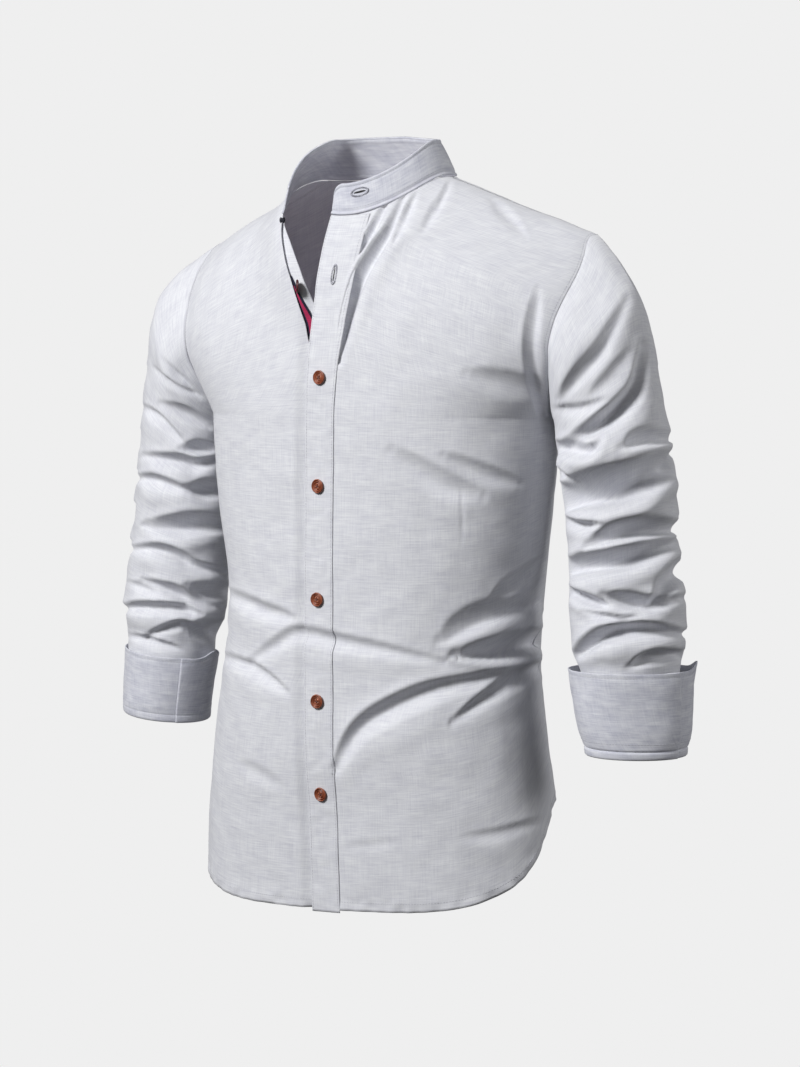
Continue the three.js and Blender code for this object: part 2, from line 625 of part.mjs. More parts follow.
// Point of the armhole seam by turn through the whole loop, underarm, front, tip and back
function armholeLoop(turn) {
  if (turn <= 180) return bodyPoint(...armholePlace(turn, true));
  return bodyPoint(...armholePlace(360 - turn, false));
}

function sleeveRingPoint(height, turn) {
  const row = (column) => tableValue(SLEEVE_TABLE, "height", column, height);
  const lean = rad(row("lean"));
  const out = -row("across") * Math.cos(rad(turn));
  const front = row("deep") * Math.sin(rad(turn));
  return new THREE.Vector3(row("x") + out * Math.cos(lean), row("y") - front, height + out * Math.sin(lean));
}

// Left sleeve as rings from the armhole down. The rings' rest from a true ellipse fades below the head.
function sleeveGrid(side) {
  const foot = SLEEVE_TABLE[0].height;
  const grid = [];
  for (let r = 0; r < SLEEVE_RINGS; r += 1) {
    const height = mix(SLEEVE_HEAD, foot, r / (SLEEVE_RINGS - 1));
    const keep = 1 - smooth(0, 60, SLEEVE_HEAD - height);
    const ring = [];
    for (let c = 0; c < SLEEVE_COLS; c += 1) {
      const turn = (360 * c) / SLEEVE_COLS;
      const rest = armholeLoop(turn).sub(sleeveRingPoint(SLEEVE_HEAD, turn)).multiplyScalar(keep);
      const point = sleeveRingPoint(height, turn).add(rest);
      if (side < 0) point.add(headFullness(height, turn));
      if (r === 0) point.addScaledVector(seamStep(turn), 1);
      ring.push(side > 0 ? point : mirrored(point));
    }
    grid.push(side > 0 ? ring : ring.reverse());
  }
  return grid.reverse();
}

// Fullness of the right sleeve's head below the shoulder tip
function headFullness(height, turn) {
  const below = clamp((SLEEVE_HEAD - height) / HEAD_FULLNESS_LENGTH, 0, 1);
  const outer = smooth(80, 140, turn) * (1 - smooth(220, 280, turn));
  return new THREE.Vector3(1, 0, 1).multiplyScalar(RIGHT_HEAD_FULLNESS * Math.SQRT1_2 * outer * Math.sin(Math.PI * below));
}

// Small step away from the body panels at the armhole
function seamStep(turn) {
  const tangent = armholeLoop(turn + 1).sub(armholeLoop(turn - 1)).normalize();
  const outward = new THREE.Vector3(1, 0, 0);
  return outward.addScaledVector(tangent, -outward.dot(tangent)).normalize().multiplyScalar(SEAM_GAP);
}

// Outward direction of the body panels at the armhole
function armholeNormal(turn) {
  const isFront = turn <= 180;
  const [angle, rise] = armholePlace(isFront ? turn : 360 - turn, isFront);
  return bodyNormal(angle, Math.min(rise, 0.99));
}

// Directions of a sleeve; its first ring leans to the panels' so that the walls do not cross at the seam
function sleeveNormals(grid, side) {
  const normals = gridNormals(grid, true);
  const head = normals[normals.length - 1];
  head.forEach((own, c) => {
    const place = side > 0 ? c : SLEEVE_COLS - 1 - c;
    const body = armholeNormal((360 * place) / SLEEVE_COLS);
    if (side < 0) body.x *= -1;
    own.lerp(body, smooth(-0.2, 0.6, own.dot(body))).normalize();
  });
  return normals;
}

function sleeve(side, folds, cuffTop) {
  const shown = (point, r) => smooth(cuffTop + 2, cuffTop + 26, point.z) * smooth(0, 3, SLEEVE_RINGS - 1 - r);
  const grid = pressFolds(sleeveGrid(side), folds, true, shown);
  return clothWall(grid, WALL, true, sleeveNormals(grid, side));
}

// Turned-back cuff of one side, a ring wider than the sleeve inside it
function cuff(side, rows) {
  const grid = rows.map((row) => {
    const x = tableValue(SLEEVE_TABLE, "height", "x", row.height);
    const y = tableValue(SLEEVE_TABLE, "height", "y", row.height);
    const ring = [];
    for (let c = 0; c < SLEEVE_COLS; c += 1) {
      const turn = rad((360 * c) / SLEEVE_COLS);
      const along = row.long * Math.cos(turn);
      const beside = row.short * Math.sin(turn);
      const outward = (along - beside) * Math.SQRT1_2;
      const backward = (along + beside) * Math.SQRT1_2;
      const point = new THREE.Vector3(x + outward, y + backward, row.height);
      ring.push(side > 0 ? point : mirrored(point));
    }
    return side > 0 ? ring : ring.reverse();
  });
  return clothWall(grid, CUFF_WALL, true);
}

// Placket of the left front, level with the panel beside it
function placketGrid() {
  const places = [];
  const foot = hemHeight(90, true) - 2.5;
  for (let r = 0; r < BODY_ROW_COUNT; r += 1) {
    const line = [];
    for (let c = 0; c < PLACKET_COLS; c += 1) {
      const x = mix(-PLACKET_HALF_WIDTH, LEFT_EDGE_X - PLACKET_GAP, c / (PLACKET_COLS - 1));
      const head = frontNeck((Math.acos(x / NECK_HALF_WIDTH) * 180) / Math.PI)[1];
      line.push(bodyPlace(x, mix(foot, head, r / (BODY_ROW_COUNT - 1)), true));
    }
    places.push(line);
  }
  return bodyGrid(places, (point) => point, () => 1);
}

// Point of the front surface by distance from the middle and height, on either half
function frontPoint(x, height) {
  return bodyPoint(...bodyPlace(x, height, true));
}

// Strip that runs along the open edge of the right front, behind it
function openEdgeStrip(strip) {
  const grid = [];
  for (let r = 0; r < strip.rows; r += 1) {
    const height = mix(strip.foot, strip.head, r / (strip.rows - 1));
    const edge = tableValue(OPEN_EDGE_ROWS, "height", "x", height);
    const line = [strip.from, (strip.from + strip.to) / 2, strip.to].map((step) => {
      const x = edge + step;
      const point = rightFront(frontPoint(-x, height));
      point.y += strip.behind;
      return point;
    });
    grid.push(line);
  }
  return pressFolds(grid, BODY_FOLDS, false);
}

// Neck seam from the left front end round the back to the right front end
function neckSeam(share) {
  const [leftEnd, leftSide, rightSide] = [0, 0.31, 0.71];
  if (share < leftSide) {
    const end = (Math.acos(-PLACKET_HALF_WIDTH / NECK_HALF_WIDTH) * 180) / Math.PI;
    const [x, height] = frontNeck(end * (1 - (share - leftEnd) / (leftSide - leftEnd)));
    return frontPoint(x, height);
  }
  if (share > rightSide) {
    const [x, height] = rightNeck((90 * (share - rightSide)) / (1 - rightSide));
    return rightFront(frontPoint(x, height));
  }
  const x = NECK_HALF_WIDTH * Math.cos((Math.PI * (share - leftSide)) / (rightSide - leftSide));
  return bodyPoint(...bodyPlace(x, BACK_NECK_HEIGHT * (1 - Math.abs(x) / NECK_HALF_WIDTH), false));
}

function collarGrid() {
  const grid = [];
  for (let r = 0; r < COLLAR_RINGS; r += 1) {
    const up = r / (COLLAR_RINGS - 1);
    const line = [];
    for (let c = 0; c < COLLAR_COLS; c += 1) {
      const share = c / (COLLAR_COLS - 1);
      const seam = neckSeam(share);
      const inward = new THREE.Vector3(-seam.x, NECK_MIDDLE_Y - seam.y, 0).normalize();
      const lean = tableValue(COLLAR_ROWS, "along", "inward", share);
      const tall = tableValue(COLLAR_ROWS, "along", "tall", share);
      seam.addScaledVector(inward, 0.6 + lean * up ** 1.2);
      seam.z += COLLAR_LIFT + tall * up;
      line.push(seam);
    }
    grid.push(line);
  }
  return grid;
}

// Round button with a raised rim, facing the direction given
function button(centre, facing) {
  const profile = [[0, 0], [0.8, 0], [1, 0.35], [1, 0.75], [0.86, 1], [0.72, 0.8], [0, 0.8]];
  const points = profile.map(([out, up]) => new THREE.Vector2(out * BUTTON_RADIUS, up * BUTTON_DEPTH));
  const geometry = new THREE.LatheGeometry(points, BUTTON_SIDES);
  const turn = new THREE.Quaternion().setFromUnitVectors(new THREE.Vector3(0, 1, 0), facing);
  return geometry.applyQuaternion(turn).translate(centre.x, centre.y, centre.z);
}

// Where the closed buttons sit on the pressed placket
function buttonSeats(grid) {
  const normals = gridNormals(grid, false);
  const middle = (PLACKET_COLS - 1) / 2;
  return BUTTON_HEIGHTS.map((height) => {
    const r = grid.findIndex((line) => line[middle].z >= height);
    const share = (height - grid[r - 1][middle].z) / (grid[r][middle].z - grid[r - 1][middle].z);
    const facing = normals[r - 1][middle].clone().lerp(normals[r][middle], share).normalize();
    const seat = grid[r - 1][middle].clone().lerp(grid[r][middle], share);
    return { seat: seat.addScaledVector(facing, BUTTON_LIFT), facing };
  });
}

// The open button of the right front, seen on its edge
function openButton() {
  const edge = tableValue(OPEN_EDGE_ROWS, "height", "x", OPEN_BUTTON_HEIGHT);
  const seat = rightFront(frontPoint(-(edge + 7), OPEN_BUTTON_HEIGHT));
  const facing = new THREE.Vector3(-Math.sin(rad(OPEN_BUTTON_TURN)), -Math.cos(rad(OPEN_BUTTON_TURN)), 0);
  seat.y -= 4.4;
  return button(seat, facing);
}

const shirt = new THREE.Group();
shirt.name = "mandarin_collar_shirt";

function addPart(name, geometry, colour, roughness = 0.9) {
  const material = new THREE.MeshStandardMaterial({ color: colour, roughness });
  material.name = name;
  const part = new THREE.Mesh(geometry, material);
  part.name = name;
  shirt.add(part);
}

const panel = (grid) => clothWall(grid, WALL, false, panelNormals(grid));
const placket = placketGrid();
addPart("front_left", panel(leftFrontGrid()), CLOTH_COLOUR);
addPart("front_right", panel(rightFrontGrid()), CLOTH_COLOUR);
addPart("back", panel(backGrid()), CLOTH_COLOUR);
addPart("sleeve_left", sleeve(1, LEFT_SLEEVE_FOLDS, CUFF_ROWS.left[3].height), CLOTH_COLOUR);
addPart("sleeve_right", sleeve(-1, RIGHT_SLEEVE_FOLDS, CUFF_ROWS.right[3].height), CLOTH_COLOUR);
addPart("cuff_left", cuff(1, CUFF_ROWS.left), CLOTH_COLOUR);
addPart("cuff_right", cuff(-1, CUFF_ROWS.right), CLOTH_COLOUR);
addPart("collar", clothWall(collarGrid(), COLLAR_WALL, false), CLOTH_COLOUR);
addPart("placket", clothWall(placket, PLACKET_WALL, false), CLOTH_COLOUR);
addPart("button_stand", clothWall(openEdgeStrip(STAND_STRIP), STAND_STRIP.wall, false), CLOTH_COLOUR);
addPart("contrast_facing", clothWall(openEdgeStrip(FACING_STRIP), FACING_STRIP.wall, false), FACING_COLOUR);
buttonSeats(placket).forEach(({ seat, facing }, index) => {
  addPart(`button_${index + 1}`, button(seat, facing), BUTTON_COLOUR, 0.45);
});
addPart("button_open", openButton(), BUTTON_COLOUR, 0.45);

export default shirt;
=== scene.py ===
"""Shirt with a mandarin collar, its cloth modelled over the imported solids. Shapes are worked out in mm."""

import math
from collections import namedtuple

import bmesh
import bpy
import numpy as np
from mathutils import Matrix, Vector, noise


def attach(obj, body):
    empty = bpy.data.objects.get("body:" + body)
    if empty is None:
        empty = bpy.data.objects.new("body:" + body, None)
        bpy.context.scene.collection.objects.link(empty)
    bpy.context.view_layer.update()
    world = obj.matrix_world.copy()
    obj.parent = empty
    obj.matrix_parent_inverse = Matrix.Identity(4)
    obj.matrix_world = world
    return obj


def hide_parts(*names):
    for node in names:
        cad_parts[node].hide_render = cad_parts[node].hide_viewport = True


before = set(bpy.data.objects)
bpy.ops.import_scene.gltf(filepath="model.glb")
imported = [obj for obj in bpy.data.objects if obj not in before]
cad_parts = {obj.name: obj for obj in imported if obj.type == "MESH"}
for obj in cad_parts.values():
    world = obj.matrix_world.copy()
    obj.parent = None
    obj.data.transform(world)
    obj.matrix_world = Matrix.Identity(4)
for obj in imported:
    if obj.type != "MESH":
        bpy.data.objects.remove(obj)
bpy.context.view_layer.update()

MM = 0.001
ROOT = "root"

# Camera and picture, matched to the photograph
PICTURE_WIDTH = 800
PICTURE_HEIGHT = 1067
CAMERA_AZIMUTH = 35
CAMERA_DIP = 4
CAMERA_AWAY = 2750
CAMERA_ASIDE = 17
CAMERA_HEIGHT = -162
LENS = 92.8
SENSOR = 36

# Light: the backdrop's tone, the light it gives, the two lamps and a weak one for what the cloth lets through
BACKDROP = 0.863
AMBIENT = 0.165
FLOOR_LIGHT = 0.05
KEY_LIGHT = {"azimuth": -14, "elevation": 34, "away": 5, "size": 1.6, "power": 266}
FILL_LIGHT = {"azimuth": 116, "elevation": 18, "away": 3.5, "size": 1.0, "power": 34}
INSIDE_LIGHT = {"azimuth": 0, "elevation": -55, "away": 0.06, "size": 0.08, "power": 0.11}
INSIDE_TINT = (1, 0.86, 0.92)
LIGHT_TARGET = (0, 0, -0.36)
FLOOR_RADIUS = 9
FLOOR_HEIGHT = -1.35

# Shoulders and neck, in mm and degrees
NECK_HALF_WIDTH = 75
SHOULDER_SLOPE = 0.39
SHOULDER_TIP_ANGLE = 22
UNDERARM_HEIGHT = -235
NECK_RIDGE = 30
NECK_DROP = 40
RIDGE_AT_NECK = 10
RIDGE_DRIFT = 20
SHOULDER_LENGTH = 154
CHEST_FALL = 0.1
ARMHOLE_FRONT_BULGE = 30
ARMHOLE_BACK_BULGE = 13
ARMHOLE_FLATTER_TURNS = (70, 150)
BACK_NECK_HEIGHT = 2
BODY_POWER = 2.3
CAP_POWER = 2.2

# Front edge, hem and seams
PLACKET_HALF_WIDTH = 17
PLACKET_RAISE = 1.1
PLACKET_FLARE = 12
PLACKET_FLARE_HEAD = -50
PLACKET_EDGE_ROLL = 1.2
PLACKET_HANG = 2.5
UNDERLAP_DEPTH = 4.2
UNDERLAP_EASE = 16
FLAP_WIDTH = 42
FLAP_THROW = 18
FLAP_FOOT = -175
FLAP_HEAD = -40
HEM_SIDE_HEIGHT = -618
HEM_DROP = 101
HEM_TILT = 10
TILT_HALF_WIDTH = 190
TILT_HEAD = -450
TILT_FOOT = -620
SIDE_SEAM_ANGLE = -20
LEFT_EDGE_X = 15.5
LOW_SHARE = 0.65
NECK_SHARE = 0.86
BACK_NECK_WIDTH = 0.4
LEFT_NECK_SHARE = 0.31
RIGHT_NECK_SHARE = 0.71
SLEEVE_HEAD = -150
SLEEVE_FOOT = -548
RIGHT_HEAD_FULLNESS = 6
HEAD_FULLNESS_LENGTH = 36
HEAD_FULLNESS_RISE = (80, 140)
HEAD_FULLNESS_FALL = (220, 280)
COLLAR_LIFT = 0.6
COLLAR_GAP = 0.3
COLLAR_CURVE = 1.2
NECK_MIDDLE_Y = 2

# Buttons and buttonholes, and the dark blob at the open edge's head. The button's profile has steps out and
# up.
BUTTON_PROFILE = [(0, 0), (5.4, 0), (6.5, 0.4), (7, 1.1), (6.9, 1.9), (6.4, 2.4), (5.9, 2.4), (5.7, 0.5),
                  (4.9, 0.5), (4.7, 2), (4.2, 2), (4, 0.5), (3.2, 0.5), (3, 1.75)]
HOLE_OUT = 1.5
HOLE_RADIUS = 0.62
HOLE_DEPTH = 1.6
BUTTON_HEIGHTS = (-197, -302, -411, -511, -604)
OPEN_BUTTON_HEIGHT = -109
OPEN_BUTTON_TURN = 50
OPEN_BUTTON_SPIN = 30
OPEN_BUTTON_IN = 9
OPEN_BUTTON_OUT = 1.8
BLOB_HEIGHT = -43
BLOB_IN = 5.5
BLOB_OUT = 4
BLOB_TILTS = (-50, -25, 0, 25, 50)
BLOB_HALF_LENGTH = 4.2
BLOB_HALF_WIDTH = 1.1
BLOB_HALF_DEPTH = 1.4
SEWN_HALF_LENGTH = 1.25
SEWN_ASIDE = 0.25
SEWN_HALF_WIDTH = 0.26
SEWN_HEIGHT = 1.95
COLLAR_HOLE_PIXEL = (360, 192)
PLACKET_HOLE_PIXEL = (335.5, 274)
COLLAR_HOLE_SIZE = (18, 4, 1)
PLACKET_HOLE_SIZE = (19, 2.6, 0.5)
HOLE_STITCHES = 38
HOLE_STITCH_HALF_LENGTH = 1.1
HOLE_STITCH_HALF_WIDTH = 0.5
SLIT_SHARE = 0.36
SLIT_HALF_DEPTH = 0.3

# How far behind the cloth the strips along the open edge of the right front lie
STAND_BEHIND = 3.6
NAVY_BEHIND = 2.4
RED_BEHIND = 1.7

# Collar corner, and cuffs: the fold's steps up from its foot and out from the cuff's own face
COLLAR_CORNER = 14
CUFF_FOLD = [(36, -6.5), (20, -6.2), (8, -5.8), (0, -5.4), (-4, -5), (-6.4, -4.2), (-7.8, -2.8), (-8, -1.4),
             (-7, -0.5), (-5, -0.2), (-3, -0.1), (-1.4, 0), (-0.6, 0), (0, 0), (0.6, 0), (1.4, 0)]
CUFF_OVERLAP = 14
CUFF_OVERLAP_STEP = 1.5
NEAR_CUFF_END = 308
NEAR_CUFF_PEAK = 350
FAR_CUFF_END = 175
FAR_CUFF_PEAK = 130
FAR_CUFF_LEAN = 0.1
CUFF_GRAIN = (20, 80)
CUFF_UNDER_STEP = 0.6
CUFF_PEAK_WIDTH = 13
CUFF_PEAK_DEPTH = 16
CUFF_PEAK_OUT = 3
CUFF_PEAK_RISE = 7
CUFF_GROOVE_WIDTH = 0.7
CUFF_EDGE_STEPS = (5, 4, 3, 1.8, 0.8, 0)

# Rolled edges and stitched grooves, each as height, distance from the edge and width
COLLAR_FOOT_ROLL = ((0.9, 1.4, 1.1), (-0.5, 3.6, 0.8))
COLLAR_TOP_ROLL = ((0.45, 1.4, 1.2), (-0.35, 4, 0.8))
PLACKET_GROOVE = ((-0.35, 3.4, 0.9),)
CUFF_GROOVE = ((-0.35, 4.2, 0.7),)

# Thread and puckers
THREAD_BATCH = 40
STITCH_PITCH = 3.0
STITCH_HALF_LENGTH = 1.15
STITCH_HALF_WIDTH = 0.21
STITCH_PROUD = 0.08
HEM_PUCKER = 1.6
HEM_PUCKER_ROWS = 7
PLACKET_PUCKER = 0.5

# Shape of a crease: the lip and the swell beside it, as shares of its depth and of its widths
CREASE_LIP = 0.2
LIP_PLACE = 1.15
LIP_WIDTH = 0.6
CREASE_SWELL = 0.15
SWELL_PLACE = 1.6
SWELL_WIDTH = 0.7
WALL_POWER = 1.7
PATH_STEPS = 6
CREASE_END_WIDTH = 0.35
CREASE_REACH = 3
TAPER_POWER = 0.6
SHOWN_FACING = (-0.1, 0.25)

# Unevenness of the cloth, each as height, size of its lumps and shift
CLOTH_LUMPS = ((1.7, 70, 3.1), (0.6, 24, 7.7))
CLOTH_RIPPLE = (0.13, 9, 5.3)
HEM_RIPPLE = (HEM_PUCKER, 11, 6.6)
COLLAR_RIPPLE = (0.5, 22, 5.5)
PLACKET_RIPPLE = (PLACKET_PUCKER, 8, 1.7)
CUFF_LUMPS = ((1.3, 45, 2.2), (0.5, 14, 9.1))
SLEEVE_UNEVENNESS = 1.6

# Where the creases calm down: rows below the sleeve's head, mm about the cuff's top, share beside the armhole
HEAD_CALM_ROWS = 5
CUFF_CALM = (-6, 16)
ARMHOLE_CALM = 0.12

# Slub weave: streaks as mm across, mm along and detail for weft, warp, patches and grain, then their weights
SLUB_STREAKS = ((26, 1.1, 3), (1.1, 30, 3), (22, 9, 4), (0.5, 0.5, 1))
WEFT_SHARE = 0.58
FINE_SHARE = 0.25
SLUB_SPREAD = (0.37, 0.63)
SLUB_RELIEF = (0.5, 0.0005)

# Cloth walls
CLOTH_WALL = 0.7
COLLAR_WALL = 2
CUFF_WALL = 1.1
PLACKET_WALL = 0.9
STRIP_WALL = 0.8
CONTRAST_WALL = 0.4


def table(columns, *rows):
    """Named columns of a short table, sorted by its first column."""
    return dict(zip(columns.split(), np.array(rows, float).T))


BODY = table(
    "height width front back middle_x middle_y",
    (-740, 204, 94, 98, -3, -2),
    (-640, 199, 98, 100, -3, -3),
    (-570, 187, 103, 102, -3, -4),
    (-500, 176, 106, 106, -3, -2),
    (-420, 171, 109, 106, 1, 1),
    (-340, 182, 108, 106, 0, 0),
    (-280, 189, 107, 106, 0, 0),
    (-235, 193, 106, 106, 0, 0),
)
YOKE = table("up width", (0, 193), (0.1, 205), (0.2, 218), (0.35, 236), (0.5, 247), (0.75, 250), (1, 246))
HEM = table(
    "from_side drop",
    (0, 0), (12, 0.08), (20, 0.28), (27, 0.49), (40, 0.72), (60, 0.9), (80, 0.98), (105, 1),
)
SLEEVE = table(
    "height x y lean across deep",
    (-557, 289, 8, 0, 44, 43.5),
    (-545, 288.5, 8, 0, 44, 43.5),
    (-498, 284, 9.5, 2, 46, 45.5),
    (-472, 281, 10, 5, 47.5, 46.5),
    (-448, 279, 11, 8, 54.5, 52.5),
    (-398, 274, 13, 12, 54.5, 52.5),
    (-350, 269, 15, 17, 54.5, 53),
    (-305, 264.5, 14.5, 24, 56, 53.5),
    (-265, 259.5, 14, 33, 59, 53.5),
    (-225, 254, 12, 45, 64, 53),
    (-185, 247, 9.5, 60, 77.7, 52),
    (-165, 231, 17, 69.5, 84, 50.5),
    (-150, 215, 25, 79, 89.6, 49),
)
CUFF_LEFT = table("height long short", (-545, 49.5, 46), (-528, 54, 48.5), (-500, 58, 49.5), (-472, 60, 50.5))
CUFF_RIGHT = table("height long short", (-551, 50, 47), (-530, 53, 48), (-510, 54.5, 49), (-490, 55, 50))
OPEN_EDGE = table(
    "height x",
    (-740, 12), (-240, 12), (-215, 9), (-190, -4), (-164, -20), (-143, -25.5),
    (-105, -42), (-55, -67), (-36, -75),
)
COLLAR = table(
    "along inward tall",
    (0, 3, 27), (0.04, 4, 31), (0.2, 9, 34), (0.35, 17, 36),
    (0.6, 15, 42), (0.78, 12, 38), (0.96, 8, 32), (1, 6, 28),
)
RIGHT_NECK = table("turn x height", (0, 75, 0), (30, 78, -9), (60, 79, -22), (90, 75, -37))

# The strips along the open edge: their two sides measured from that edge
STAND_STRIP = table("height near far", (-214, -5, 14), (-95, -5, 13), (-66, -5, 9), (-42, -5, -1))
NAVY_STRIP = table("height near far", (-205, -5, 10.5), (-145, -5, 8.8), (-124, -5, 5.8), (-98, -5, 0.8))
RED_STRIP = table("height near far", (-203, 1.8, 9), (-145, 1.8, 7), (-126, 1.2, 4), (-108, 0.2, 0.6))

# A crease dips steeply within sharp mm on the left of its path and rises softly within soft mm on the right.
# Photographed creases have their paths in the photograph's pixels, the others in mm across and down a plane.
Crease = namedtuple("Crease", "depth sharp soft path")


def creases(*rows):
    """Creases from rows that hold depth, sharp and soft, then the points of the path."""
    return [Crease(*row[:3], row[3:]) for row in rows]


NECK_CREASES = creases(
    (6.5, 4, 6, (360, 254), (366, 240), (375, 224), (388, 198)),
    (11, 7, 10, (339, 362), (343, 334), (349, 307), (356, 285), (365, 266), (378, 246), (390, 228),
     (403, 198)),
    (6, 5, 8, (394, 242), (402, 222), (415, 195)),
    (2.6, 5, 8, (422, 232), (432, 213), (441, 194)),
    (2.6, 4, 6, (436, 212), (443, 197), (450, 180)),
)
TORSO_CREASES = creases(
    (4.5, 11, 14, (444, 456), (480, 473), (520, 484)),
    (5, 16, 18, (392, 452), (435, 482), (482, 497)),
    (6.5, 22, 9, (444, 642), (466, 630), (494, 618), (534, 606)),
    (5, 9, 13, (250, 661), (278, 643), (300, 633), (340, 642), (384, 650), (444, 662)),
    (16, 22, 7, (458, 658), (496, 656), (528, 649), (560, 638)),
    (10, 10, 20, (336, 768), (350, 740), (368, 720), (400, 702), (430, 690), (462, 682), (522, 670)),
    (6.5, 8, 14, (452, 722), (490, 694), (525, 673), (556, 662)),
    (1.8, 6, 12, (462, 837), (498, 833), (548, 818)),
    (0.8, 6, 9, (344, 847), (370, 845), (398, 841)),
    (6, 9, 13, (222, 590), (263, 610), (294, 619)),
    (6, 6, 13, (220, 654), (253, 668), (288, 692)),
    (1.6, 8, 12, (238, 762), (260, 774), (282, 787)),
    (0.7, 2.5, 4, (461, 548), (462, 520), (461, 484)),
    (4, 14, 20, (468, 374), (505, 383), (552, 388)),
    (5, 12, 10, (546, 426), (534, 352), (538, 290)),
    (3, 7, 10, (492, 200), (508, 216), (526, 236)),
    (4, 10, 10, (492, 600), (512, 585), (540, 560)),
)
NEAR_SLEEVE_CREASES = creases(
    (6, 13, 10, (560, 400), (582, 375), (604, 349), (628, 300)),
    (3, 8, 14, (592, 394), (610, 376), (626, 352)),
    (15, 13, 14, (570, 442), (590, 432), (607, 421), (625, 405), (637, 386), (645, 345)),
    (4.5, 5, 10, (552, 408), (580, 408), (606, 399)),
    (12, 12, 7, (548, 446), (564, 450), (582, 453), (594, 451), (602, 440)),
    (9, 17, 4, (624, 449), (642, 444), (674, 441)),
    (35, 36, 12, (556, 510), (578, 503), (605, 500), (632, 494), (656, 481), (686, 460)),
    (9, 6, 8, (546, 458), (556, 469), (572, 480)),
    (7.5, 6, 7, (558, 516), (578, 525), (604, 524)),
    (19, 18, 7, (592, 547), (612, 539), (635, 534), (660, 532), (686, 531)),
    (21, 19, 12, (556, 573), (580, 569), (605, 566), (630, 562), (652, 554), (680, 543)),
    (12, 17, 7, (657, 606), (669, 590), (681, 573), (694, 556)),
    (14, 12, 9, (604, 597), (625, 602), (650, 606), (681, 599)),
    (13, 9, 6, (560, 586), (578, 598), (594, 604), (609, 607)),
    (6, 5, 7, (584, 611), (605, 617), (620, 619), (642, 616)),
    (18, 10, 13, (572, 662), (587, 645), (602, 636), (625, 631), (652, 630), (688, 634)),
    (11, 11, 7, (630, 668), (650, 660), (670, 658), (690, 656)),
)
FAR_SLEEVE_CREASES = creases(
    (4, 3, 7, (154, 367), (166, 379), (181, 388), (202, 395)),
    (4, 3, 7, (162, 358), (173, 370), (187, 382), (200, 398)),
    (7, 9, 10, (163, 404), (180, 412), (193, 418), (209, 427)),
    (6, 5, 10, (141, 405), (150, 411), (160, 419), (172, 431), (185, 444)),
    (8, 11, 5, (182, 450), (198, 450), (217, 450)),
    (10, 9, 11, (144, 456), (165, 460), (182, 462), (197, 465), (221, 459)),
    (9, 8, 11, (135, 478), (150, 480), (165, 484), (188, 491)),
    (11, 16, 9, (188, 490), (207, 493), (230, 490)),
    (15, 18, 10, (148, 528), (175, 530), (200, 528), (234, 527)),
    (11, 8, 12, (130, 549), (150, 549), (165, 551), (180, 558), (195, 566), (224, 571)),
    (11, 8, 11, (142, 581), (160, 587), (175, 592), (190, 599), (220, 607)),
    (9, 14, 9, (188, 588), (210, 595), (232, 591)),
    (5, 5, 8, (129, 582), (145, 590), (161, 597)),
    (10, 7, 11, (121, 609), (140, 607), (180, 609), (199, 614)),
    (7, 6, 9, (144, 637), (170, 627), (186, 625), (208, 634)),
    (11, 17, 11, (188, 631), (208, 634), (231, 630)),
    (6, 5, 8, (129, 635), (152, 642), (182, 650)),
)
HIDDEN_AZIMUTH = 205
HIDDEN_TORSO_CREASES = creases(
    (6, 10, 16, (-60, 45), (-95, 130), (-120, 210)),
    (6, 16, 10, (60, 45), (92, 130), (112, 210)),
    (8, 14, 18, (-172, 432), (-70, 468), (25, 462)),
    (9, 15, 18, (-10, 524), (80, 494), (172, 452)),
    (7, 13, 15, (-165, 500), (-92, 532), (-45, 582)),
    (6, 12, 15, (65, 640), (100, 585), (168, 540)),
    (5, 12, 15, (-165, 282), (-110, 308), (-60, 316)),
    (5, 10, 15, (70, 328), (115, 310), (168, 283)),
    (3.5, 8, 14, (-120, 640), (-60, 655), (0, 650)),
    (3, 7, 12, (-40, 380), (0, 388), (48, 380)),
)
HIDDEN_LEFT_SLEEVE_CREASES = creases(
    (6, 9, 13, (-325, 150), (-290, 190), (-240, 205)),
    (9, 14, 13, (-345, 246), (-290, 262), (-225, 250)),
    (6, 8, 11, (-340, 292), (-300, 300), (-262, 290)),
    (10, 14, 13, (-340, 330), (-280, 342), (-225, 325)),
    (9, 12, 12, (-335, 388), (-280, 378), (-225, 390)),
    (8, 10, 12, (-335, 436), (-280, 446), (-225, 434)),
)
HIDDEN_RIGHT_SLEEVE_CREASES = creases(
    (6, 9, 13, (240, 200), (290, 188), (325, 152)),
    (8, 13, 13, (225, 258), (285, 266), (345, 244)),
    (6, 8, 11, (262, 298), (300, 306), (340, 290)),
    (10, 14, 13, (225, 334), (280, 346), (340, 332)),
    (9, 12, 12, (225, 392), (280, 382), (335, 394)),
    (8, 10, 12, (225, 438), (280, 452), (335, 440)),
)


def mix(start, end, share):
    return start + (end - start) * share


def span(low, high, at):
    """Share from 0 at low to 1 at high."""
    return np.clip((at - low) / (high - low), 0, 1)


def ease(low, high, at):
    """Share from 0 at low to 1 at high, flat at both ends."""
    share = span(low, high, at)
    return share * share * (3 - 2 * share)


def bell(at, middle, width):
    """A smooth bump, 1 at the middle."""
    return np.exp(-(((at - middle) / width) ** 2))


def bumps(at, rows):
    """Sum of smooth bumps, each given as height, middle and width."""
    return sum(height * bell(at, middle, width) for height, middle, width in rows)


def steps(*spans):
    """Numbers in spans, each given as first, last and how many."""
    return np.concatenate([np.linspace(*numbers) for numbers in spans])


def lengths(points):
    """Distance along a line of points."""
    return np.concatenate([[0], np.cumsum(np.linalg.norm(np.diff(points, axis=0), axis=1))])


def signed_power(base, power):
    return np.sign(base) * np.abs(base) ** power


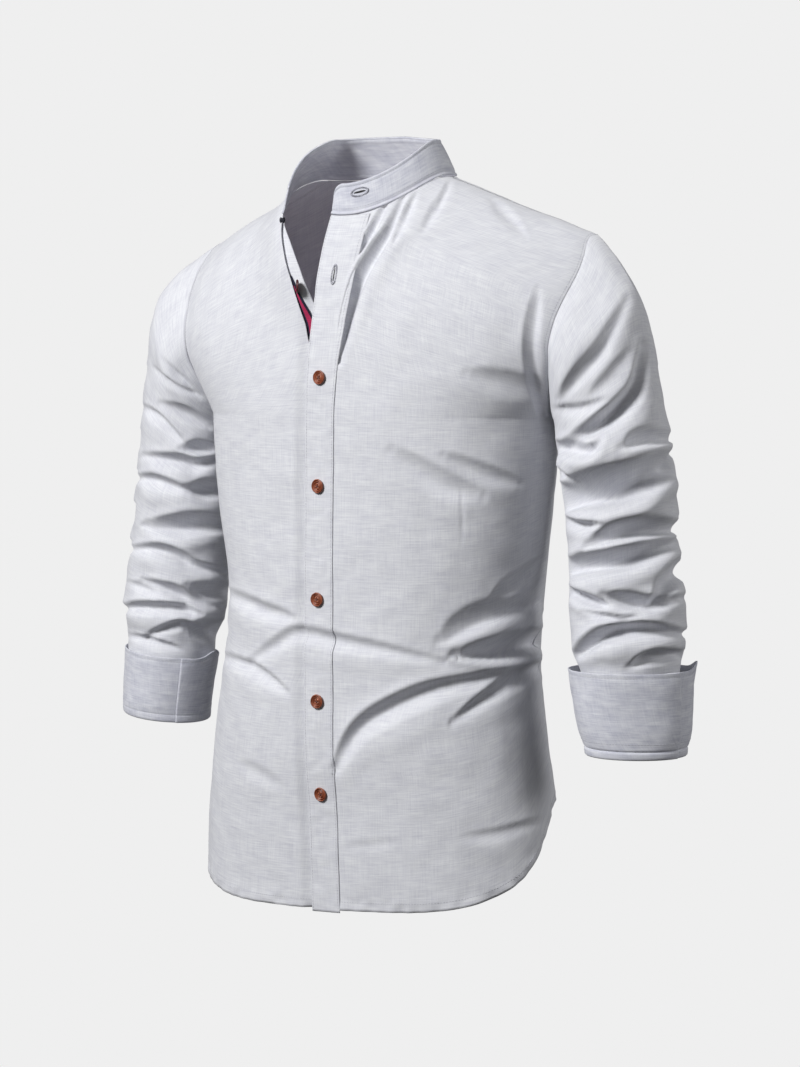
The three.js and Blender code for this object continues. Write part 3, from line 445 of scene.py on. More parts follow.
def value(rows, column, at):
    """Values of one column of a table, eased between its rows."""
    keys = next(iter(rows.values()))
    level = rows[column]
    last = len(keys) - 1
    at = np.clip(at, keys[0], keys[-1])
    i = np.clip(np.searchsorted(keys, at, side="right") - 1, 0, last - 1)
    before = np.maximum(np.arange(last + 1) - 1, 0)
    after = np.minimum(np.arange(last + 1) + 1, last)
    slope = (level[after] - level[before]) / (keys[after] - keys[before])
    gap = keys[i + 1] - keys[i]
    s = (at - keys[i]) / gap
    start = (1 + 2 * s) * (1 - s) ** 2 * level[i] + s * (1 - s) ** 2 * gap * slope[i]
    return start + s * s * (3 - 2 * s) * level[i + 1] + s * s * (s - 1) * gap * slope[i + 1]


def values(rows, columns, at):
    return [value(rows, column, at) for column in columns.split()]


def shoulder_line(x):
    """Height at which front and back meet over the shoulder."""
    out = np.abs(x)
    inside = NECK_RIDGE * (1 - np.minimum(out / NECK_HALF_WIDTH, 1) ** 1.5)
    return np.where(out >= NECK_HALF_WIDTH, -(out - NECK_HALF_WIDTH) * SHOULDER_SLOPE, inside)


def body_point(angle, rise):
    """Points of the body surface by angle and by rise, as the solids have them."""
    angle, rise = np.broadcast_arrays(np.asarray(angle, float), np.asarray(rise, float))
    c = np.cos(np.radians(angle))
    s = np.sin(np.radians(angle))
    height = UNDERARM_HEIGHT + np.minimum(rise, 0)
    depth = np.where(s > 0, value(BODY, "front", height), value(BODY, "back", height))
    across = signed_power(c, 2 / BODY_POWER)
    forward = signed_power(s, 2 / BODY_POWER)
    middle_x, middle_y, width = values(BODY, "middle_x middle_y width", height)
    low = np.stack([middle_x + width * across, middle_y - depth * forward, height], -1)
    part = np.clip(rise, 0, 1) * np.pi / 2
    up = np.sin(part) ** (2 / CAP_POWER)
    thin = np.maximum(np.cos(part), 0) ** (2 / CAP_POWER)
    x = value(YOKE, "width", up) * across
    from_neck = np.clip(np.abs(x) - NECK_HALF_WIDTH, 0, SHOULDER_LENGTH)
    ridge_y = RIDGE_AT_NECK + RIDGE_DRIFT * from_neck / SHOULDER_LENGTH
    y = ridge_y * up * up - depth * (1 - CHEST_FALL * up) * thin * forward
    high = np.stack([x, y, mix(UNDERARM_HEIGHT, shoulder_line(x), up)], -1)
    return np.where((rise < 0)[..., None], low, high)


def body_at(places):
    """Points of the body surface at places that hold an angle and a rise."""
    return body_point(*np.moveaxis(places, -1, 0))


def body_place(x, height, front):
    """Angle and rise of the body surface at a distance from the middle and a height."""
    x, height = np.broadcast_arrays(np.asarray(x, float), np.asarray(height, float))
    low = height < UNDERARM_HEIGHT
    up = span(UNDERARM_HEIGHT, shoulder_line(x), height)
    high_rise = np.arcsin(up ** (CAP_POWER / 2)) * 2 / np.pi
    width = np.where(low, value(BODY, "width", height), value(YOKE, "width", up))
    middle = np.where(low, value(BODY, "middle_x", height), 0)
    cosine = signed_power(np.clip((x - middle) / width, -1, 1), BODY_POWER / 2)
    angle = np.degrees(np.arccos(cosine)) * (1 if front else -1)
    return np.stack([angle, np.where(low, height - UNDERARM_HEIGHT, high_rise)], -1)


def armhole_place(turn, front):
    """Angle and rise along the armhole, from 0 at the underarm to 180 at the shoulder tip."""
    up = (1 - np.cos(np.radians(turn))) / 2
    rise = np.arcsin(up ** (CAP_POWER / 2)) * 2 / np.pi
    bulge = np.maximum(np.sin(np.radians(turn)), 0)
    if front:
        forward = ARMHOLE_FRONT_BULGE * bulge ** 0.7 * (1 - 0.8 * ease(*ARMHOLE_FLATTER_TURNS, turn))
        return np.stack([mix(SIDE_SEAM_ANGLE, SHOULDER_TIP_ANGLE, up) + forward, rise], -1)
    return np.stack([mix(SIDE_SEAM_ANGLE, -SHOULDER_TIP_ANGLE, up) - ARMHOLE_BACK_BULGE * bulge, rise], -1)


def hem_height(angle, front):
    from_side = np.minimum(np.abs(angle - SIDE_SEAM_ANGLE), np.abs(180 - SIDE_SEAM_ANGLE - angle))
    drop = value(HEM, "drop", from_side) if front else ease(0, 90, from_side)
    return HEM_SIDE_HEIGHT - HEM_DROP * drop


def side_edge(share, front):
    """Side edge of a panel: the side seam, then the armhole."""
    foot = hem_height(SIDE_SEAM_ANGLE, front)
    height = mix(foot, UNDERARM_HEIGHT, share / LOW_SHARE)
    seam = np.stack([np.full_like(share, SIDE_SEAM_ANGLE), height - UNDERARM_HEIGHT], -1)
    armhole = armhole_place(180 * span(LOW_SHARE, 1, share), front)
    return np.where((share < LOW_SHARE)[:, None], seam, armhole)


def front_neck(turn):
    """Distance from the middle and height of the neck seam of the left front, 0 at the shoulder seam."""
    turn = np.radians(turn)
    return NECK_HALF_WIDTH * np.cos(turn), -NECK_DROP * np.maximum(np.sin(turn), 0) ** 1.4


def right_neck(turn):
    return values(RIGHT_NECK, "x height", turn)


def edge_height(share, foot, head):
    high = mix(UNDERARM_HEIGHT, head, (share - LOW_SHARE) / (NECK_SHARE - LOW_SHARE))
    return np.where(share < LOW_SHARE, mix(foot, UNDERARM_HEIGHT, share / LOW_SHARE), high)


def left_front_edge(share):
    end = math.degrees(math.acos(LEFT_EDGE_X / NECK_HALF_WIDTH))
    height = edge_height(share, hem_height(90, True), front_neck(end)[1])
    x, neck_height = front_neck(np.clip(end * (1 - share) / (1 - NECK_SHARE), 0, end))
    on_neck = share >= NECK_SHARE
    return body_place(np.where(on_neck, x, LEFT_EDGE_X), np.where(on_neck, neck_height, height), True)


def right_front_edge(share):
    height = edge_height(share, hem_height(90, True), right_neck(90)[1])
    x, neck_height = right_neck(np.clip(90 * (1 - share) / (1 - NECK_SHARE), 0, 90))
    on_neck = share >= NECK_SHARE
    open_x = -value(OPEN_EDGE, "x", height)
    return body_place(np.where(on_neck, x, open_x), np.where(on_neck, neck_height, height), True)


def front_places(edge, share, columns):
    """Places of a front panel, each row ruled from its front edge to its side edge."""
    inner = edge(share)[:, None]
    outer = side_edge(share, True)[:, None]
    u = columns[None, :]
    foot_angle = mix(edge(np.zeros(1))[0, 0], outer[..., 0], u)
    hem = hem_height(foot_angle, True) - UNDERARM_HEIGHT
    low = mix(hem, 0, (share / LOW_SHARE)[:, None])
    high = mix(inner[..., 1], outer[..., 1], u)
    rise = np.where((share < LOW_SHARE)[:, None], np.minimum(low, -1e-6), high)
    return mix(inner[..., 0], outer[..., 0], u), rise


def back_top_edge(share):
    x = NECK_HALF_WIDTH * np.sin(np.pi / 2 * span(0, BACK_NECK_WIDTH, share))
    neck = body_place(x, BACK_NECK_HEIGHT * (1 - x / NECK_HALF_WIDTH), False)
    corner = body_place(NECK_HALF_WIDTH, 0, False)[0]
    angle = mix(corner, -SHOULDER_TIP_ANGLE, (share - BACK_NECK_WIDTH) / (1 - BACK_NECK_WIDTH))
    seam = np.stack([angle, np.ones_like(share)], -1)
    return np.where((share <= BACK_NECK_WIDTH)[:, None], neck, seam)


def back_places(share, columns):
    """Places of the left half of the back, from its middle out to its side edge."""
    armhole = side_edge(share, False)
    top = back_top_edge(columns)
    up = span(LOW_SHARE, 1, share)[:, None]
    u = columns[None, :]
    angle_low = mix(-90, armhole[:, None, 0], u)
    hem = hem_height(angle_low, False) - UNDERARM_HEIGHT
    rise_low = np.minimum(mix(hem, 0, (share / LOW_SHARE)[:, None]), -1e-6)
    ruled = [mix(top[0, k], top[-1, k], u) for k in (0, 1)]
    angle_high = mix(-90, armhole[:, None, 0], u) + up * (top[None, :, 0] - ruled[0])
    rise_high = mix(top[0, 1] * up, armhole[:, None, 1], u) + up * (top[None, :, 1] - ruled[1])
    low = (share < LOW_SHARE)[:, None]
    return np.where(low, angle_low, angle_high), np.where(low, rise_low, rise_high)


def mirror_body(points):
    """The matching points of the right half."""
    low = points[..., 2] < UNDERARM_HEIGHT
    middle = np.where(low, value(BODY, "middle_x", points[..., 2]), 0)
    return np.stack([2 * middle - points[..., 0], points[..., 1], points[..., 2]], -1)


def right_front(points):
    """Points of the right front: thrown open at the neck and passing under the placket below."""
    points = mirror_body(points)
    x, y, z = np.moveaxis(points, -1, 0)
    near = bell(x, value(OPEN_EDGE, "x", z), FLAP_WIDTH)
    thrown = FLAP_THROW * ease(FLAP_FOOT, FLAP_HEAD, z) * near * ease(10, -30, y)
    under = UNDERLAP_DEPTH * ease(-PLACKET_HALF_WIDTH - UNDERLAP_EASE, -PLACKET_HALF_WIDTH - 1, x)
    return np.stack([x, y - thrown + under, z], -1)


def tilt_hem(points):
    """The hem hangs a little lower on the wearer's right."""
    x, y, z = np.moveaxis(points, -1, 0)
    return np.stack([x, y, z + HEM_TILT * x / TILT_HALF_WIDTH * ease(TILT_HEAD, TILT_FOOT, z)], -1)


def armhole_loop(turn):
    """Points of the armhole seam by turn through the whole loop."""
    front = body_at(armhole_place(np.minimum(turn, 180), True))
    back = body_at(armhole_place(np.clip(360 - turn, 0, 180), False))
    return np.where((turn <= 180)[..., None], front, back)


def sleeve_ring(height, turn):
    """Points of the sleeve's plain rings by height and turn."""
    turn = np.radians(turn)
    x, y, lean, across, deep = values(SLEEVE, "x y lean across deep", height)
    lean = np.radians(lean)
    out = -across * np.cos(turn)
    return np.stack([x + out * np.cos(lean), y - deep * np.sin(turn), height + out * np.sin(lean)], -1)


def head_fullness(height, turn):
    """Fullness of the right sleeve's head below the shoulder tip."""
    below = span(SLEEVE_HEAD, SLEEVE_HEAD - HEAD_FULLNESS_LENGTH, height)
    outer = ease(*HEAD_FULLNESS_RISE, turn) * (1 - ease(*HEAD_FULLNESS_FALL, turn))
    full = RIGHT_HEAD_FULLNESS * math.sqrt(0.5) * outer * np.sin(np.pi * below)
    return full[..., None] * np.array([1, 0, 1])


def front_point(x, height):
    """Points of the front surface by distance from the middle and height, on either half."""
    return body_at(body_place(x, height, True))


def neck_seam(share):
    """Points of the neck seam from the left front end round the back to the right front end."""
    end = math.degrees(math.acos(-PLACKET_HALF_WIDTH / NECK_HALF_WIDTH))
    left = front_point(*front_neck(end * span(LEFT_NECK_SHARE, 0, share)))
    right = right_front(front_point(*right_neck(90 * span(RIGHT_NECK_SHARE, 1, share))))
    x = NECK_HALF_WIDTH * np.cos(np.pi * span(LEFT_NECK_SHARE, RIGHT_NECK_SHARE, share))
    back = body_at(body_place(x, BACK_NECK_HEIGHT * (1 - np.abs(x) / NECK_HALF_WIDTH), False))
    front_or_back = np.where((share > RIGHT_NECK_SHARE)[:, None], right, back)
    return np.where((share < LEFT_NECK_SHARE)[:, None], left, front_or_back)


def unit(vectors):
    return vectors / np.maximum(np.linalg.norm(vectors, axis=-1, keepdims=True), 1e-9)


def grid_normals(grid, closed=False):
    """Outward directions of a grid of points. A closed grid repeats its first column as its last."""
    around = np.gradient(grid, axis=1)
    if closed:
        around[:, 0] = around[:, -1] = (grid[:, 1] - grid[:, -2]) / 2
    return unit(np.cross(around, np.gradient(grid, axis=0)))


def raised(grid, height):
    """The grid moved outward by the height at each of its points."""
    return grid + grid_normals(grid) * height[..., None]


def camera_axes():
    """The camera's place and its right, upward and forward directions."""
    turn = math.radians(CAMERA_AZIMUTH)
    dip = math.radians(CAMERA_DIP)
    right = np.array([math.cos(turn), math.sin(turn), 0])
    back = np.array([math.sin(turn), -math.cos(turn), 0])
    up = np.array([0, 0, 1])
    eye = back * CAMERA_AWAY + right * CAMERA_ASIDE + up * CAMERA_HEIGHT
    return eye, right, up * math.cos(dip) - back * math.sin(dip), -back * math.cos(dip) - up * math.sin(dip)


def picture_place(points):
    """Pixel of the photograph at which each point is seen."""
    eye, right, above, forward = camera_axes()
    scale = LENS / SENSOR * PICTURE_HEIGHT / ((points - eye) @ forward)
    x = PICTURE_WIDTH / 2 + (points - eye) @ right * scale
    return np.stack([x, PICTURE_HEIGHT / 2 - (points - eye) @ above * scale], -1)


def plane_place(points):
    """Place on the plane from which the hidden sides are seen: mm across and down."""
    turn = math.radians(HIDDEN_AZIMUTH)
    return np.stack([points[..., 0] * math.cos(turn) + points[..., 1] * math.sin(turn), -points[..., 2]], -1)


def smooth_path(path):
    """Points of a smooth curve through those of a path."""
    path = np.array(path, float)
    ends = np.concatenate([[2 * path[0] - path[1]], path, [2 * path[-1] - path[-2]]])
    t = np.arange(PATH_STEPS)[:, None] / PATH_STEPS
    curve = []
    for a, b, c, d in zip(ends, ends[1:], ends[2:], ends[3:]):
        bend = (2 * a - 5 * b + 4 * c - d) * t**2 + (3 * b - a - 3 * c + d) * t**3
        curve.append(0.5 * (2 * b + (c - a) * t + bend))
    return np.concatenate(curve + [path[-1:]])


def crease_profile(side, sharp, soft):
    """Share of a crease's depth at a signed distance from its path, positive on its sharp side."""
    lip = CREASE_LIP * np.exp(-np.abs(side - LIP_PLACE * sharp) ** 1.5 / (LIP_WIDTH * sharp) ** 1.5)
    swell = CREASE_SWELL * bell(side, -SWELL_PLACE * soft, SWELL_WIDTH * soft)
    wall = 1 - np.clip(side / sharp, 0, 1) ** WALL_POWER
    return np.where(side > 0, wall, 1 - ease(0, soft, -side)) - lip - swell


def crease_depth(creases, places):
    """Inward depth of all creases at places on their plane."""
    total = np.zeros(len(places))
    for crease in creases:
        path = smooth_path(crease.path)
        reach = CREASE_REACH * max(crease.sharp, crease.soft)
        inside = np.all((places > path.min(0) - reach) & (places < path.max(0) + reach), axis=1)
        if not inside.any():
            continue
        spots = places[inside][:, None]
        step = np.diff(path, axis=0)
        t = np.clip(((spots - path[:-1]) * step).sum(2) / (step**2).sum(1), 0, 1)
        off = spots - path[:-1] - t[..., None] * step
        nearest = (off**2).sum(2).argmin(1)
        pick = np.arange(len(nearest))
        off = off[pick, nearest]
        line = step[nearest]
        side = np.hypot(off[:, 0], off[:, 1]) * np.sign(off[:, 0] * line[:, 1] - off[:, 1] * line[:, 0])
        along = (nearest + t[pick, nearest]) / len(step)
        taper = np.sin(np.pi * np.clip(along, 0.03, 0.97)) ** TAPER_POWER
        wide = mix(CREASE_END_WIDTH, 1, taper)
        total[inside] += crease.depth * taper * crease_profile(side / wide, crease.sharp, crease.soft)
    return total


def cloth_noise(points, size, shift):
    """Soft unevenness between -1 and 1 whose lumps measure about size mm."""
    spots = (points / size + shift).reshape(-1, 3)
    return np.array([noise.noise(Vector(spot)) for spot in spots]).reshape(points.shape[:-1])


def ripple(points, height, size, shift):
    return height * cloth_noise(points, size, shift)


def press(grid, shown, hidden, strength, closed=False, unevenness=1.0):
    """Presses creases and a little unevenness into a grid of cloth."""
    normals = grid_normals(grid, closed)
    flat = grid.reshape(-1, 3)
    view = camera_axes()[3]
    facing = ease(*SHOWN_FACING, -(normals @ view)).reshape(-1)
    depth = facing * crease_depth(shown, picture_place(flat))
    depth += (1 - facing) * crease_depth(hidden, plane_place(flat))
    depth += unevenness * sum(ripple(flat, *lumps) for lumps in CLOTH_LUMPS)
    depth += ripple(flat, *CLOTH_RIPPLE)
    return grid - normals * (depth.reshape(grid.shape[:2]) * strength)[..., None]


def cloth_coords(grid, anchor_row, anchor_col):
    """Places on the flat cloth, in mm, measured along the rows and up one column."""
    u = np.stack([lengths(row) for row in grid])
    u -= u[:, anchor_col:anchor_col + 1]
    v = lengths(grid[:, anchor_col])
    v -= v[anchor_row]
    return np.stack([u, np.broadcast_to(v[:, None], u.shape)], -1)


def made_mesh(name, shape, smooth=True):
    mesh = bpy.data.meshes.new(name)
    shape.to_mesh(mesh)
    shape.free()
    mesh.polygons.foreach_set("use_smooth", np.full(len(mesh.polygons), smooth))
    return mesh


def placed(name, content):
    """New object in the scene."""
    thing = bpy.data.objects.new(name, content)
    bpy.context.scene.collection.objects.link(thing)
    return thing


def new_object(name, mesh, material):
    piece = placed(name, mesh)
    mesh.materials.append(material)
    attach(piece, ROOT)
    return piece


def cloth_mesh(name, grid, coords, closed=False):
    """Mesh of a sheet of cloth through a grid of points, with its flat places as UV."""
    rows, cols = grid.shape[:2]
    sheet = bmesh.new()
    bmesh.ops.create_grid(sheet, x_segments=cols - 1, y_segments=rows - 1, size=0.5)
    mesh = made_mesh(name, sheet)
    flat = np.empty(len(mesh.vertices) * 3)
    mesh.vertices.foreach_get("co", flat)
    flat = flat.reshape(-1, 3)
    col = np.rint((flat[:, 0] + 0.5) * (cols - 1)).astype(int)
    row = np.rint((flat[:, 1] + 0.5) * (rows - 1)).astype(int)
    mesh.vertices.foreach_set("co", (grid[row, col] * MM).ravel())
    corner = np.empty(len(mesh.loops), int)
    mesh.loops.foreach_get("vertex_index", corner)
    layer = mesh.uv_layers.new(name="cloth")
    layer.data.foreach_set("uv", (coords[row, col][corner] * MM).ravel())
    if closed:
        tube = bmesh.new()
        tube.from_mesh(mesh)
        bmesh.ops.remove_doubles(tube, verts=tube.verts, dist=1e-6)
        tube.to_mesh(mesh)
        tube.free()
    mesh.update()
    return mesh


def cloth_piece(name, grid, material, nodes, wall=CLOTH_WALL, closed=False,
                anchor=(0, 0)):
    """A sheet of cloth that stands for solids. Its outer face is the grid and its wall grows inward."""
    mesh = cloth_mesh(name, grid, cloth_coords(grid, *anchor), closed)
    piece = new_object(name, mesh, material)
    thickness = piece.modifiers.new("wall", "SOLIDIFY")
    thickness.thickness = wall * MM
    thickness.offset = -1
    if nodes:
        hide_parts(*nodes)


# Materials

def new_material(name):
    material = bpy.data.materials.new(name)
    material.use_nodes = True
    nodes = material.node_tree.nodes
    return material, nodes, material.node_tree.links, nodes["Principled BSDF"]


def add_node(nodes, kind, **sockets):
    """New node with numbers set on its sockets, a space in a socket's name written as _."""
    node = nodes.new(kind)
    for key, content in sockets.items():
        node.inputs[key.replace("_", " ")].default_value = content
    return node


def streaks(nodes, links, source, across, along, detail):
    """Noise drawn out along one direction of the cloth, in mm."""
    place = add_node(nodes, "ShaderNodeMapping", Scale=(1 / (across * MM), 1 / (along * MM), 1))
    links.new(source, place.inputs["Vector"])
    field = add_node(nodes, "ShaderNodeTexNoise", Scale=1.0, Detail=detail, Roughness=0.6)
    links.new(place.outputs["Vector"], field.inputs["Vector"])
    return field.outputs["Fac"]


def weighed_sum(nodes, links, *parts):
    """Sum of outputs, each given with its weight."""
    total = None
    for output, weight in parts:
        step = nodes.new("ShaderNodeMath")
        step.operation = "MULTIPLY_ADD"
        links.new(output, step.inputs[0])
        step.inputs[1].default_value = weight
        step.inputs[2].default_value = 0
        if total:
            links.new(total, step.inputs[2])
        total = step.outputs[0]
    return total


def spread(nodes, links, source, low, high):
    """Stretches the middle values of a noise over the whole span from 0 to 1."""
    stretch = add_node(nodes, "ShaderNodeMapRange", From_Min=low, From_Max=high)
    links.new(source, stretch.inputs["Value"])
    return stretch.outputs["Result"]


def lay_tone(nodes, links, shader, share, dark, light):
    """Colours a shader between two tones."""
    colour = nodes.new("ShaderNodeMix")
    colour.data_type = "RGBA"
    colour.inputs[6].default_value = (*dark, 1)
    colour.inputs[7].default_value = (*light, 1)
    links.new(share, colour.inputs["Factor"])
    links.new(colour.outputs[2], shader.inputs["Base Color"])


def lay_relief(nodes, links, shader, height, strength, distance):
    bump = add_node(nodes, "ShaderNodeBump", Strength=strength, Distance=distance)
    links.new(height, bump.inputs["Height"])
    links.new(bump.outputs["Normal"], shader.inputs["Normal"])


def slub_cloth(name, dark, light, patches=0.25):
    """Slub weave: uneven threads both ways, seen as fine streaks and patches in tone and relief."""
    material, nodes, links, shader = new_material(name)
    uv = nodes.new("ShaderNodeUVMap")
    uv.uv_map = "cloth"
    flat = uv.outputs["UV"]
    weft, warp, broad, fine = (streaks(nodes, links, flat, *sizes) for sizes in SLUB_STREAKS)
    weft_weight, warp_weight = WEFT_SHARE - patches / 2, 1 - WEFT_SHARE - patches / 2
    threads = weighed_sum(nodes, links, (weft, weft_weight), (warp, warp_weight))
    tone = weighed_sum(nodes, links, (threads, 1), (broad, patches))
    lay_tone(nodes, links, shader, spread(nodes, links, tone, *SLUB_SPREAD), dark, light)
    relief = weighed_sum(nodes, links, (threads, 1), (fine, FINE_SHARE))
    lay_relief(nodes, links, shader, relief, *SLUB_RELIEF)
    shader.inputs["Roughness"].default_value = 0.85
    shader.inputs["Specular IOR Level"].default_value = 0.25
    shader.inputs["Sheen Weight"].default_value = 0.25
    shader.inputs["Sheen Roughness"].default_value = 0.5
    return material


def thread_finish(name, tone):
    """Twisted thread: a plain tone with a fine uneven relief."""
    material, nodes, links, shader = new_material(name)
    place = nodes.new("ShaderNodeTexCoord")
    twist = add_node(nodes, "ShaderNodeTexNoise", Scale=2600.0, Detail=2.0)
    links.new(place.outputs["Object"], twist.inputs["Vector"])
    dark = [part * 0.8 for part in tone]
    light = [min(part * 1.15, 1) for part in tone]
    lay_tone(nodes, links, shader, twist.outputs["Fac"], dark, light)
    lay_relief(nodes, links, shader, twist.outputs["Fac"], 0.4, 0.0002)
    shader.inputs["Roughness"].default_value = 0.8
    return material


def wood_finish(name, dark, light):
    """Turned and stained wood: streaks of grain under a worn satin coat."""
    material, nodes, links, shader = new_material(name)
    place = nodes.new("ShaderNodeTexCoord")
    drawn = add_node(nodes, "ShaderNodeMapping", Scale=(900, 900, 140))
    links.new(place.outputs["Object"], drawn.inputs["Vector"])
    grain = add_node(nodes, "ShaderNodeTexNoise", Scale=1.0, Detail=5.0, Roughness=0.65, Distortion=0.6)
    links.new(drawn.outputs["Vector"], grain.inputs["Vector"])
    lay_tone(nodes, links, shader, spread(nodes, links, grain.outputs["Fac"], 0.3, 0.7), dark, light)
    lay_relief(nodes, links, shader, grain.outputs["Fac"], 0.3, 0.0002)
    shader.inputs["Roughness"].default_value = 0.42
    shader.inputs["Coat Weight"].default_value = 0.25
    shader.inputs["Coat Roughness"].default_value = 0.3
    return material


CLOTH = slub_cloth("pale_grey_slub", (0.575, 0.58, 0.64), (0.77, 0.78, 0.805))
# Collar and cuffs: a copy of the cloth with stronger patches, the doubled band's own slub, and a darker tone
# that is painted shade
DOUBLED_CLOTH_PAINTED_SHADE = slub_cloth("doubled_grey_slub_painted_shade", (0.47, 0.48, 0.565), (0.745, 0.755, 0.80), patches=0.42)


# Panels

FRONT_ROWS = np.linspace(0, 1, 261)
FRONT_COLUMNS = np.linspace(0, 1, 146) ** 1.3
BACK_COLUMNS = np.linspace(0, 1, 61)
SLEEVE_ROWS = 191
SLEEVE_COLUMNS = 145
LEFT_GRAIN_COLUMN = 50
RIGHT_GRAIN_COLUMN = 122
COLLAR_ROWS = steps((0, 0.12, 7), (0.15, 0.84, 16), (0.87, 1, 7))
COLLAR_COLUMNS = steps((0, 0.03, 19), (0.032, 1, 262))
PLACKET_COLUMNS = np.concatenate([[-17, -16.7, -16], np.linspace(-15, 15, 13), [16, 16.8, 17.3]])
CUFF_COLUMNS = 163


def press_panel(grid, from_side):
    """Presses the torso's creases into a panel, fading them out towards its armholes."""
    above = ease(LOW_SHARE - 0.04, LOW_SHARE + 0.03, FRONT_ROWS)[:, None]
    strength = 1 - above * (1 - ease(0, ARMHOLE_CALM, from_side[None, :]))
    grid = press(grid, NECK_CREASES + TORSO_CREASES, HIDDEN_TORSO_CREASES, strength)
    hem = 1 - ease(0, HEM_PUCKER_ROWS, np.arange(len(grid)))[:, None]
    return raised(grid, hem * ripple(grid, *HEM_RIPPLE))


def left_front_cloth():
    grid = tilt_hem(body_point(*front_places(left_front_edge, FRONT_ROWS, FRONT_COLUMNS)))
    return press_panel(grid, 1 - FRONT_COLUMNS)


def right_front_cloth():
    grid = tilt_hem(right_front(body_point(*front_places(right_front_edge, FRONT_ROWS, FRONT_COLUMNS))))
    return press_panel(grid[:, ::-1], 1 - FRONT_COLUMNS[::-1])


def back_cloth():
    half = body_point(*back_places(FRONT_ROWS, BACK_COLUMNS))
    grid = tilt_hem(np.concatenate([half[:, :0:-1], mirror_body(half)], 1))
    return press_panel(grid, 1 - np.abs(np.linspace(-1, 1, grid.shape[1])))


left_front_grid = left_front_cloth()
right_front_grid = right_front_cloth()
back_grid = back_cloth()


def sleeve_grid(side, shown, hidden, cuff_top):
    """Points of a sleeve from its foot up to the armhole, pressed with its creases."""
    height = np.linspace(SLEEVE_HEAD, SLEEVE_FOOT, SLEEVE_ROWS)[:, None]
    turn = np.linspace(0, 360, SLEEVE_COLUMNS)[None, :]
    height, turn = np.broadcast_arrays(height, turn)
    keep = 1 - ease(0, 60, SLEEVE_HEAD - height)
    rest = armhole_loop(turn) - sleeve_ring(np.full_like(height, SLEEVE_HEAD), turn)
    grid = sleeve_ring(height, turn) + rest * keep[..., None]
    if side < 0:
        grid = (grid + head_fullness(height, turn)) * [-1, 1, 1]
        grid = grid[:, ::-1]
    grid = grid[::-1]
    from_head = np.arange(SLEEVE_ROWS)[::-1, None]
    strength = ease(0, HEAD_CALM_ROWS, from_head) * ease(*CUFF_CALM, grid[..., 2] - cuff_top)
    return press(grid, shown, hidden, strength, closed=True, unevenness=SLEEVE_UNEVENNESS)


sleeve_left_grid = sleeve_grid(1, NEAR_SLEEVE_CREASES, HIDDEN_LEFT_SLEEVE_CREASES, CUFF_LEFT["height"][-1])
sleeve_right_grid = sleeve_grid(-1, FAR_SLEEVE_CREASES, HIDDEN_RIGHT_SLEEVE_CREASES,
                                 CUFF_RIGHT["height"][-1])

cloth_piece("left_front_cloth", left_front_grid, CLOTH, ["front_left"])
cloth_piece("right_front_cloth", right_front_grid, CLOTH, ["front_right"])
cloth_piece("back_cloth", back_grid, CLOTH, ["back"])
cloth_piece("left_sleeve_cloth", sleeve_left_grid, CLOTH, ["sleeve_left"],
            closed=True, anchor=(0, LEFT_GRAIN_COLUMN))
cloth_piece("right_sleeve_cloth", sleeve_right_grid, CLOTH, ["sleeve_right"],
            closed=True, anchor=(0, RIGHT_GRAIN_COLUMN))


# Collar, placket, cuffs and the strips behind the open edge

def collar_grid():
    """Outer face of the collar band, its front corner rounded and its two long edges rolled."""
    share = COLLAR_COLUMNS
    seam = neck_seam(share)
    inward = unit(np.stack([-seam[:, 0], NECK_MIDDLE_Y - seam[:, 1], np.zeros(len(share))], -1))
    from_end = span(COLLAR_CORNER, 0, lengths(seam))
    tall = value(COLLAR, "tall", np.maximum(share, 0.04)) - COLLAR_CORNER * (1 - np.sqrt(1 - from_end**2))
    up = COLLAR_ROWS[:, None]
    high = up * tall
    roll = bumps(high, COLLAR_FOOT_ROLL) + bumps(tall - high, COLLAR_TOP_ROLL)
    step = COLLAR_GAP + value(COLLAR, "inward", share) * up**COLLAR_CURVE - roll
    grid = seam[None] + inward[None] * step[..., None]
    grid[..., 2] += COLLAR_LIFT + high
    return grid - inward[None] * ripple(grid, *COLLAR_RIPPLE)[..., None]


def placket_grid():
    """Outer face of the placket, raised over the left front's edge and pressed with the same creases."""
    across = PLACKET_COLUMNS[None, :]
    first, last = PLACKET_COLUMNS[0], PLACKET_COLUMNS[-1]
    head = front_neck(np.degrees(np.arccos(across / NECK_HALF_WIDTH)))[1]
    height = mix(hem_height(90, True) - PLACKET_HANG, head, FRONT_ROWS[:, None])
    wider = PLACKET_FLARE * ease(UNDERARM_HEIGHT, PLACKET_FLARE_HEAD, height) * np.maximum(across, 0) / last
    grid = tilt_hem(front_point(across + wider, height))
    grid = press(grid, TORSO_CREASES, HIDDEN_TORSO_CREASES, 1.0)
    edge = np.minimum(across - first, last - across)
    raise_by = PLACKET_RAISE * ease(-PLACKET_EDGE_ROLL, PLACKET_EDGE_ROLL, edge) + bumps(edge, PLACKET_GROOVE)
    return raised(grid, raise_by + ease(0, 3, edge) * ripple(grid, *PLACKET_RIPPLE))


